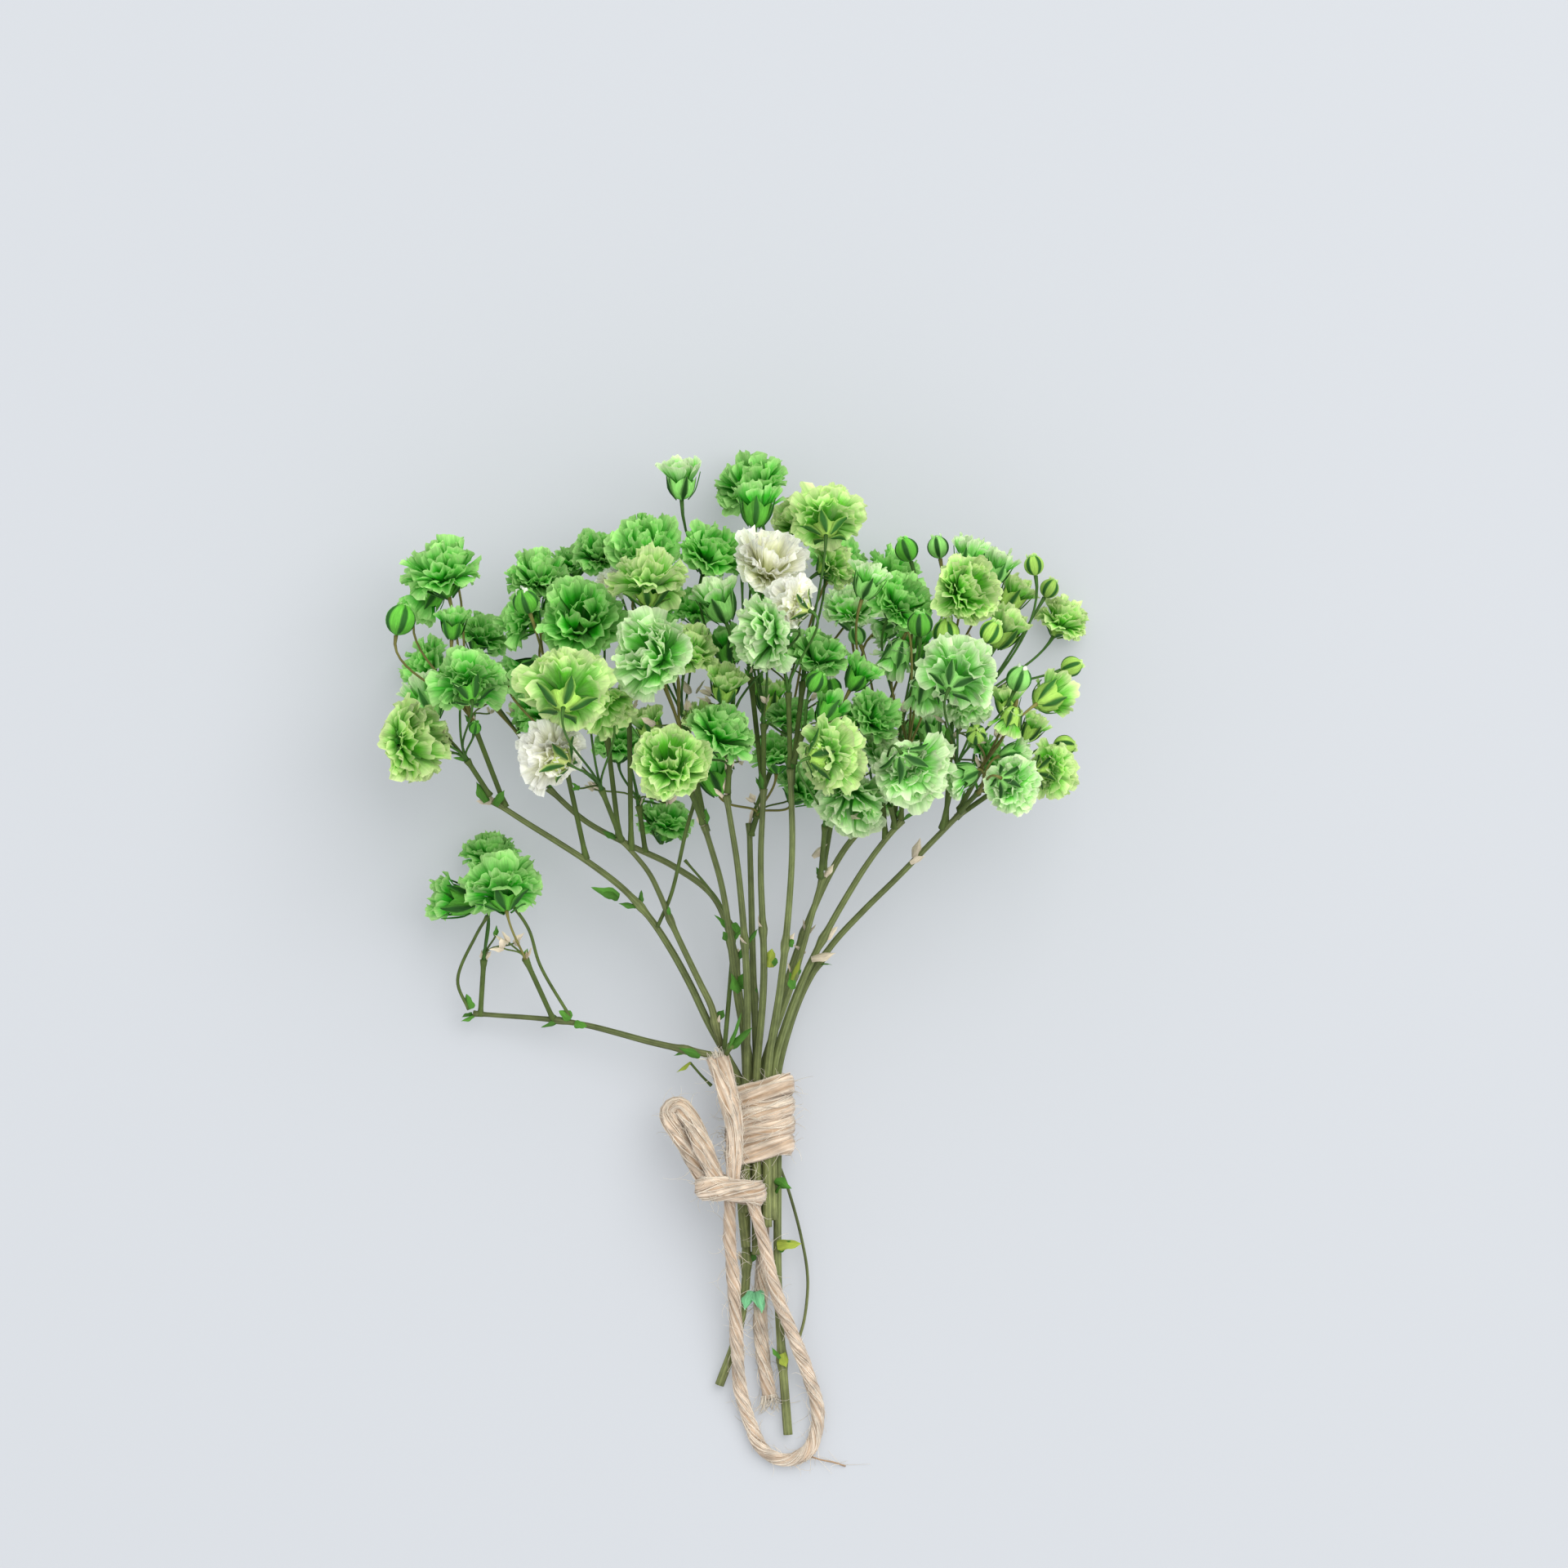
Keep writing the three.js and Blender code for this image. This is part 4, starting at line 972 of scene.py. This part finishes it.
def add_spent_stalk(shape, rng, sprig):
    """A short fine stalk whose flower is gone, with the two scales that were under it."""
    fork = np.array(sprig["fork"])
    start = np.array(sprig["direction"])
    aim = unit(start + [rng.uniform(-1, 1) for _ in range(3)])
    length = rng.uniform(2.4, 5.2) * MM
    end = fork + aim * length
    line = bezier(fork, fork + start * 0.4 * length, end - aim * 0.3 * length, end, SPENT_POINTS)
    lengthwise = np.linspace(0, 1, SPENT_POINTS)
    add_tube(shape, line, 0.1 * MM, 6, STALK * rng.uniform(0.8, 1.4), lengthwise)
    colour = rng.choice((BRACT_CREAM, BRACT_CREAM, BRACT_GREEN))
    for _ in range(2):
        spread = aim + [rng.uniform(-0.6, 0.6) for _ in range(3)]
        add_bract(shape, rng, end, spread,
                  rng.uniform(1, 1.7) * MM, rng.uniform(0.5, 0.9) * MM, colour)


def build_sprig(node):
    rng = random.Random(node)
    sprig = read_sprig(node)
    dye = node.split("_")[2]
    petals, greens = Shape(), Shape()
    stalk_colour = (STALK + (STALK_GOLD if rng.random() < GOLD_SHARE else SEPAL_DARK * 2)) / 2
    start, fork = sprig["start"] - sprig["direction"] * 0.9 * MM, sprig["fork"]
    shoot = bezier(start, start.lerp(fork, 0.33), start.lerp(fork, 0.66), fork, SHOOT_POINTS)
    along = np.linspace(0, 1, SHOOT_POINTS)
    swollen = np.exp(-((along - 1) / 0.1) ** 2) + np.exp(-(along / 0.08) ** 2)
    radii = 0.26 * MM + 0.14 * MM * swollen
    add_tube(greens, shoot, radii, 8, STALK, along * 2)
    for head in sprig["heads"]:
        colour = dye_of(head, dye)
        own = 0.9 + 0.2 * rng.random()
        colours = [c * own for c in PETALS[colour]]
        along = np.linspace(0, 1, len(head["stalk"]))
        thick = 0.125 + 0.14 * np.exp(-(along / 0.07) ** 2) + 0.1 * np.exp(-((along - 1) / 0.08) ** 2)
        add_tube(greens, head["stalk"], thick * MM, 6, stalk_colour * rng.uniform(0.8, 1.2), along * 2)
        add_calyx(greens, head, rng, SEPAL_PALE[colour] * own, SEPAL_DARK * rng.uniform(0.8, 1.6))
        if head["kind"] == "full":
            add_open_petals(petals, head, rng, colours)
        elif head["kind"] == "half":
            add_cupped_petals(petals, head, rng, colours)
        else:
            undyed = rng.random() < UNDYED_BUDS
            add_bud_petals(petals, head, rng, PETALS["undyed"] if undyed else colours)
    for _ in range(SPENT_STALKS):
        add_spent_stalk(greens, rng, sprig)
    for _ in range(SPRIG_SCALES):
        aim = np.array(sprig["direction"]) + [rng.uniform(-0.7, 0.7) for _ in range(3)]
        colour = BRACT_CREAM if rng.random() < 0.45 else BRACT_GREEN
        add_bract(greens, rng, fork, aim,
                  rng.uniform(0.9, 1.6) * MM, rng.uniform(0.4, 0.7) * MM, colour)
    piece = petals.piece(node + "_petals", PETAL)
    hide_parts(node)
    piece = greens.piece(node + "_stalks", GREENS)


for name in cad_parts:
    if name.startswith("sprig_"):
        build_sprig(name)


# ---- Leaves and loose bits ----
# Scales and bits of leaf at the stems' joints: place and direction in millimetres from the tie,
# length, width and colour.
LEAFY = (
    ((-3.2, 20.4, 8.4), (-1, 1.2, 0.5), 2.1, 1.2, "green"),
    ((-2.9, 20.8, 8.6), (0.9, -1, 0.4), 1.6, 1, "green"),
    ((-2.1, 13.8, 9.2), (-0.4, 1.5, 0.8), 2.2, 1.8, "green"),
    ((-2.6, 14.4, 9), (0.9, 0.9, 0.5), 1.7, 1.5, "green"),
    ((0.7, 16.2, 11), (0.2, 1.3, 0.6), 2, 1.3, "yellow"),
    ((1.4, 16.4, 11), (-0.9, 0.7, 0.4), 1.6, 1, "green"),
    ((2.9, 15, 11.3), (0.3, 1.6, 0.3), 2.4, 1.1, "yellow"),
    ((3.3, 14, 10.6), (-0.2, 1.5, 0.5), 1.8, 0.9, "green"),
    ((5, 17.2, 9.6), (1.6, 0.5, 0.2), 2.6, 1.2, "cream"),
    ((4.4, 17.6, 9.4), (-1.5, 0.6, 0.3), 1.6, 0.8, "cream"),
    ((-30.1, 11.8, 3.2), (-0.5, 1.2, 0.5), 1.6, 1.2, "green"),
    ((-19.6, 10.9, 4.2), (-1.2, 0.7, 0.4), 1.5, 1.1, "green"),
    ((-19.3, 10.4, 4.2), (1.3, -0.2, 0.3), 1.3, 0.9, "green"),
    ((-28, 33.2, 13.6), (-0.6, 1.3, 0.2), 2.3, 1.2, "green"),
    ((-27.3, 32.8, 13.6), (0.7, 1.2, 0.3), 1.8, 0.9, "green"),
    ((-6.4, 6.9, 5.8), (-1.6, 0.6, 0.1), 2.4, 0.9, "green"),
    ((-7.4, 6.5, 5.4), (-1.2, -0.7, -0.1), 1.8, 1, "yellow"),
    ((1.2, -5.9, 4.2), (0.8, -0.5, 0.3), 1.9, 1.4, "green"),
    ((1.3, -6.9, 3.9), (0.5, 0.9, 0.4), 1.4, 0.9, "green"),
    ((1.5, -12.3, 3.2), (1.5, 0.2, 0.2), 2.5, 1.3, "yellow"),
    ((1.6, -12.9, 3), (1, 0.8, 0.3), 1.6, 1, "green"),
    ((-0.9, -17.2, 2.9), (-0.35, -1.4, -0.1), 2.2, 1.5, "mint"),
    ((-0.7, -17.2, 3), (0.05, -1.4, 0), 2.3, 1.5, "mint"),
    ((-0.5, -17.2, 2.9), (0.5, -1.3, -0.1), 2.1, 1.5, "mint"),
    ((2.1, -23.6, 2.4), (0.5, -1.2, 0), 1.5, 1.2, "yellow"),
    ((2, -24, 2.3), (-0.6, 1, 0.1), 1.4, 1, "green"),
    ((5.1, 27.6, 14.6), (1, 1.1, 0.4), 2, 1, "cream"),
    ((15.5, 27.4, 11.2), (0.4, 1.5, 0.4), 2.2, 1, "cream"),
    ((15.2, 26.8, 11.2), (1.4, 0.6, 0.3), 1.7, 0.8, "cream"),
    ((-7.2, 44.2, 20), (-0.6, 1.2, 0.4), 1.8, 0.8, "cream"),
    ((-6.6, 44.2, 20), (0.8, 1.1, 0.4), 1.7, 0.8, "cream"),
)
LEAFY_COLOURS = {
    "green": BRACT_GREEN,
    "yellow": rgb(160, 176, 66),
    "cream": BRACT_CREAM,
    "mint": rgb(132, 206, 150),
}
# Fine stalks that carry no flower of their own: their routes in millimetres from the tie, and radii.
FINE_STALKS = (
    (((-3.9, 6.8, 5.2), (-3.7, 7.3, 7), (-3.2, 8.2, 8.8)), 0.28),
    (((-3.9, 7.4, 6), (-3.4, 13, 7.2), (-2.8, 20.3, 8.2)), 0.24),
    (((-3, 20.6, 8.2), (-5.2, 24, 9.2), (-7.9, 27.2, 10)), 0.13),
    (((-7.4, 6.4, 5.2), (-6.2, 5, 5), (-5.2, 4, 5)), 0.13),
    (((-19.7, 11, 4), (-22.8, 16.4, 5.6), (-24, 20.2, 6.8), (-26.4, 23.6, 8.2)), 0.17),
    (((-30.2, 11.8, 3), (-31.3, 14.8, 4), (-29.4, 19.4, 5.4), (-28.2, 21.4, 7)), 0.17),
    (((-10.7, 20.4, 8.8), (-9.3, 23.7, 10.4), (-7.7, 30.4, 13.4), (-6.8, 33.4, 14.6)), 0.2),
)


def build_loose_bits():
    rng = random.Random("bits")
    shape = Shape()
    for place, direction, length, width, colour in LEAFY:
        tint = LEAFY_COLOURS[colour] * rng.uniform(0.8, 1.1)
        add_bract(shape, rng, in_frame([place])[0], direction, length * MM, width * MM, tint)
    piece = shape.piece("joint_leaves", GREENS)
    shape = Shape()
    for route, radius in FINE_STALKS:
        line, along = smooth_path(in_frame(route), 0.5 * MM)
        swell = 1 + 0.5 * np.exp(-((along - along[-1]) / (0.5 * MM)) ** 2)
        add_tube(shape, line, radius * MM * swell, 8, STALK, along / MM * 0.25)
    piece = shape.piece("fine_stalks", STEM_SKIN)


build_loose_bits()


def build_leaf(node):
    """Two narrow blades along the CAD's leaf."""
    rng = random.Random(node)
    points, _ = joined_mesh(node)
    cloud = np.array([list(p) for p in points])
    middle = cloud.mean(axis=0)
    along = np.linalg.svd(cloud - middle, full_matrices=False)[2][0]
    along = along * (1 if along[2] > 0 else -1)  # from its foot up to its point
    reach = (cloud - middle) @ along
    foot = middle + along * reach.min()
    length = float(np.ptp(reach))
    shape = Shape()
    add_bract(shape, rng, foot, along, length, 1.2 * MM, BRACT_GREEN)
    add_bract(shape, rng, foot, along + [0.35, 0, 0.2], length * 0.7, 0.9 * MM, BRACT_GREEN * 0.7)
    piece = shape.piece(node + "_blade", GREENS)
    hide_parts(node)


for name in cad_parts:
    if name.startswith("leaf_"):
        build_leaf(name)


# ---- Floor and light ----
FLOOR_COLOUR = rgb(159, 161, 165)
FLOOR_GLOW = (0.92, 0.96, 1, 1)  # the floor is lit a little from below
FLOOR_GLOW_STRENGTH = 0.26
SKY_COLOUR = (0.95, 0.975, 1.0, 1)
SKY_STRENGTH = 0.95
WINDOW_COLOUR = (1.0, 0.99, 0.97)
WINDOW_SIZE = 1.5
WINDOW_POWER = 17
WINDOW_PLACE = (0.55, 0.55, 1.25)  # from the middle of the view


def build_stage():
    mesh = bpy.data.meshes.new("floor")
    side = 3.0
    corners = [(-side, -side, 0), (side, -side, 0), (side, side, 0), (-side, side, 0)]
    mesh.from_pydata(corners, [], [(0, 1, 2, 3)])
    mat = bpy.data.materials.new("pale_floor")
    mat.use_nodes = True
    shader = mat.node_tree.nodes["Principled BSDF"]
    shader.inputs["Base Color"].default_value = (*FLOOR_COLOUR, 1)
    shader.inputs["Emission Color"].default_value = FLOOR_GLOW
    shader.inputs["Emission Strength"].default_value = FLOOR_GLOW_STRENGTH
    shader.inputs["Roughness"].default_value = 0.95
    shader.inputs["Specular IOR Level"].default_value = 0.1
    mesh.materials.append(mat)
    floor = bpy.data.objects.new("floor", mesh)
    bpy.context.scene.collection.objects.link(floor)

    world = bpy.data.worlds.new("studio")
    world.use_nodes = True
    background = world.node_tree.nodes["Background"]
    background.inputs["Color"].default_value = SKY_COLOUR
    background.inputs["Strength"].default_value = SKY_STRENGTH
    bpy.context.scene.world = world

    data = bpy.data.lights.new("window", "AREA")
    data.shape = "DISK"
    data.size = WINDOW_SIZE
    data.energy = WINDOW_POWER
    data.color = WINDOW_COLOUR
    light = bpy.data.objects.new("window", data)
    light.location = VIEW_CENTRE + Vector(WINDOW_PLACE)
    light.rotation_euler = (VIEW_CENTRE - light.location).to_track_quat("-Z", "Y").to_euler()
    bpy.context.scene.collection.objects.link(light)
    bpy.context.scene.view_settings.view_transform = "Standard"


build_stage()
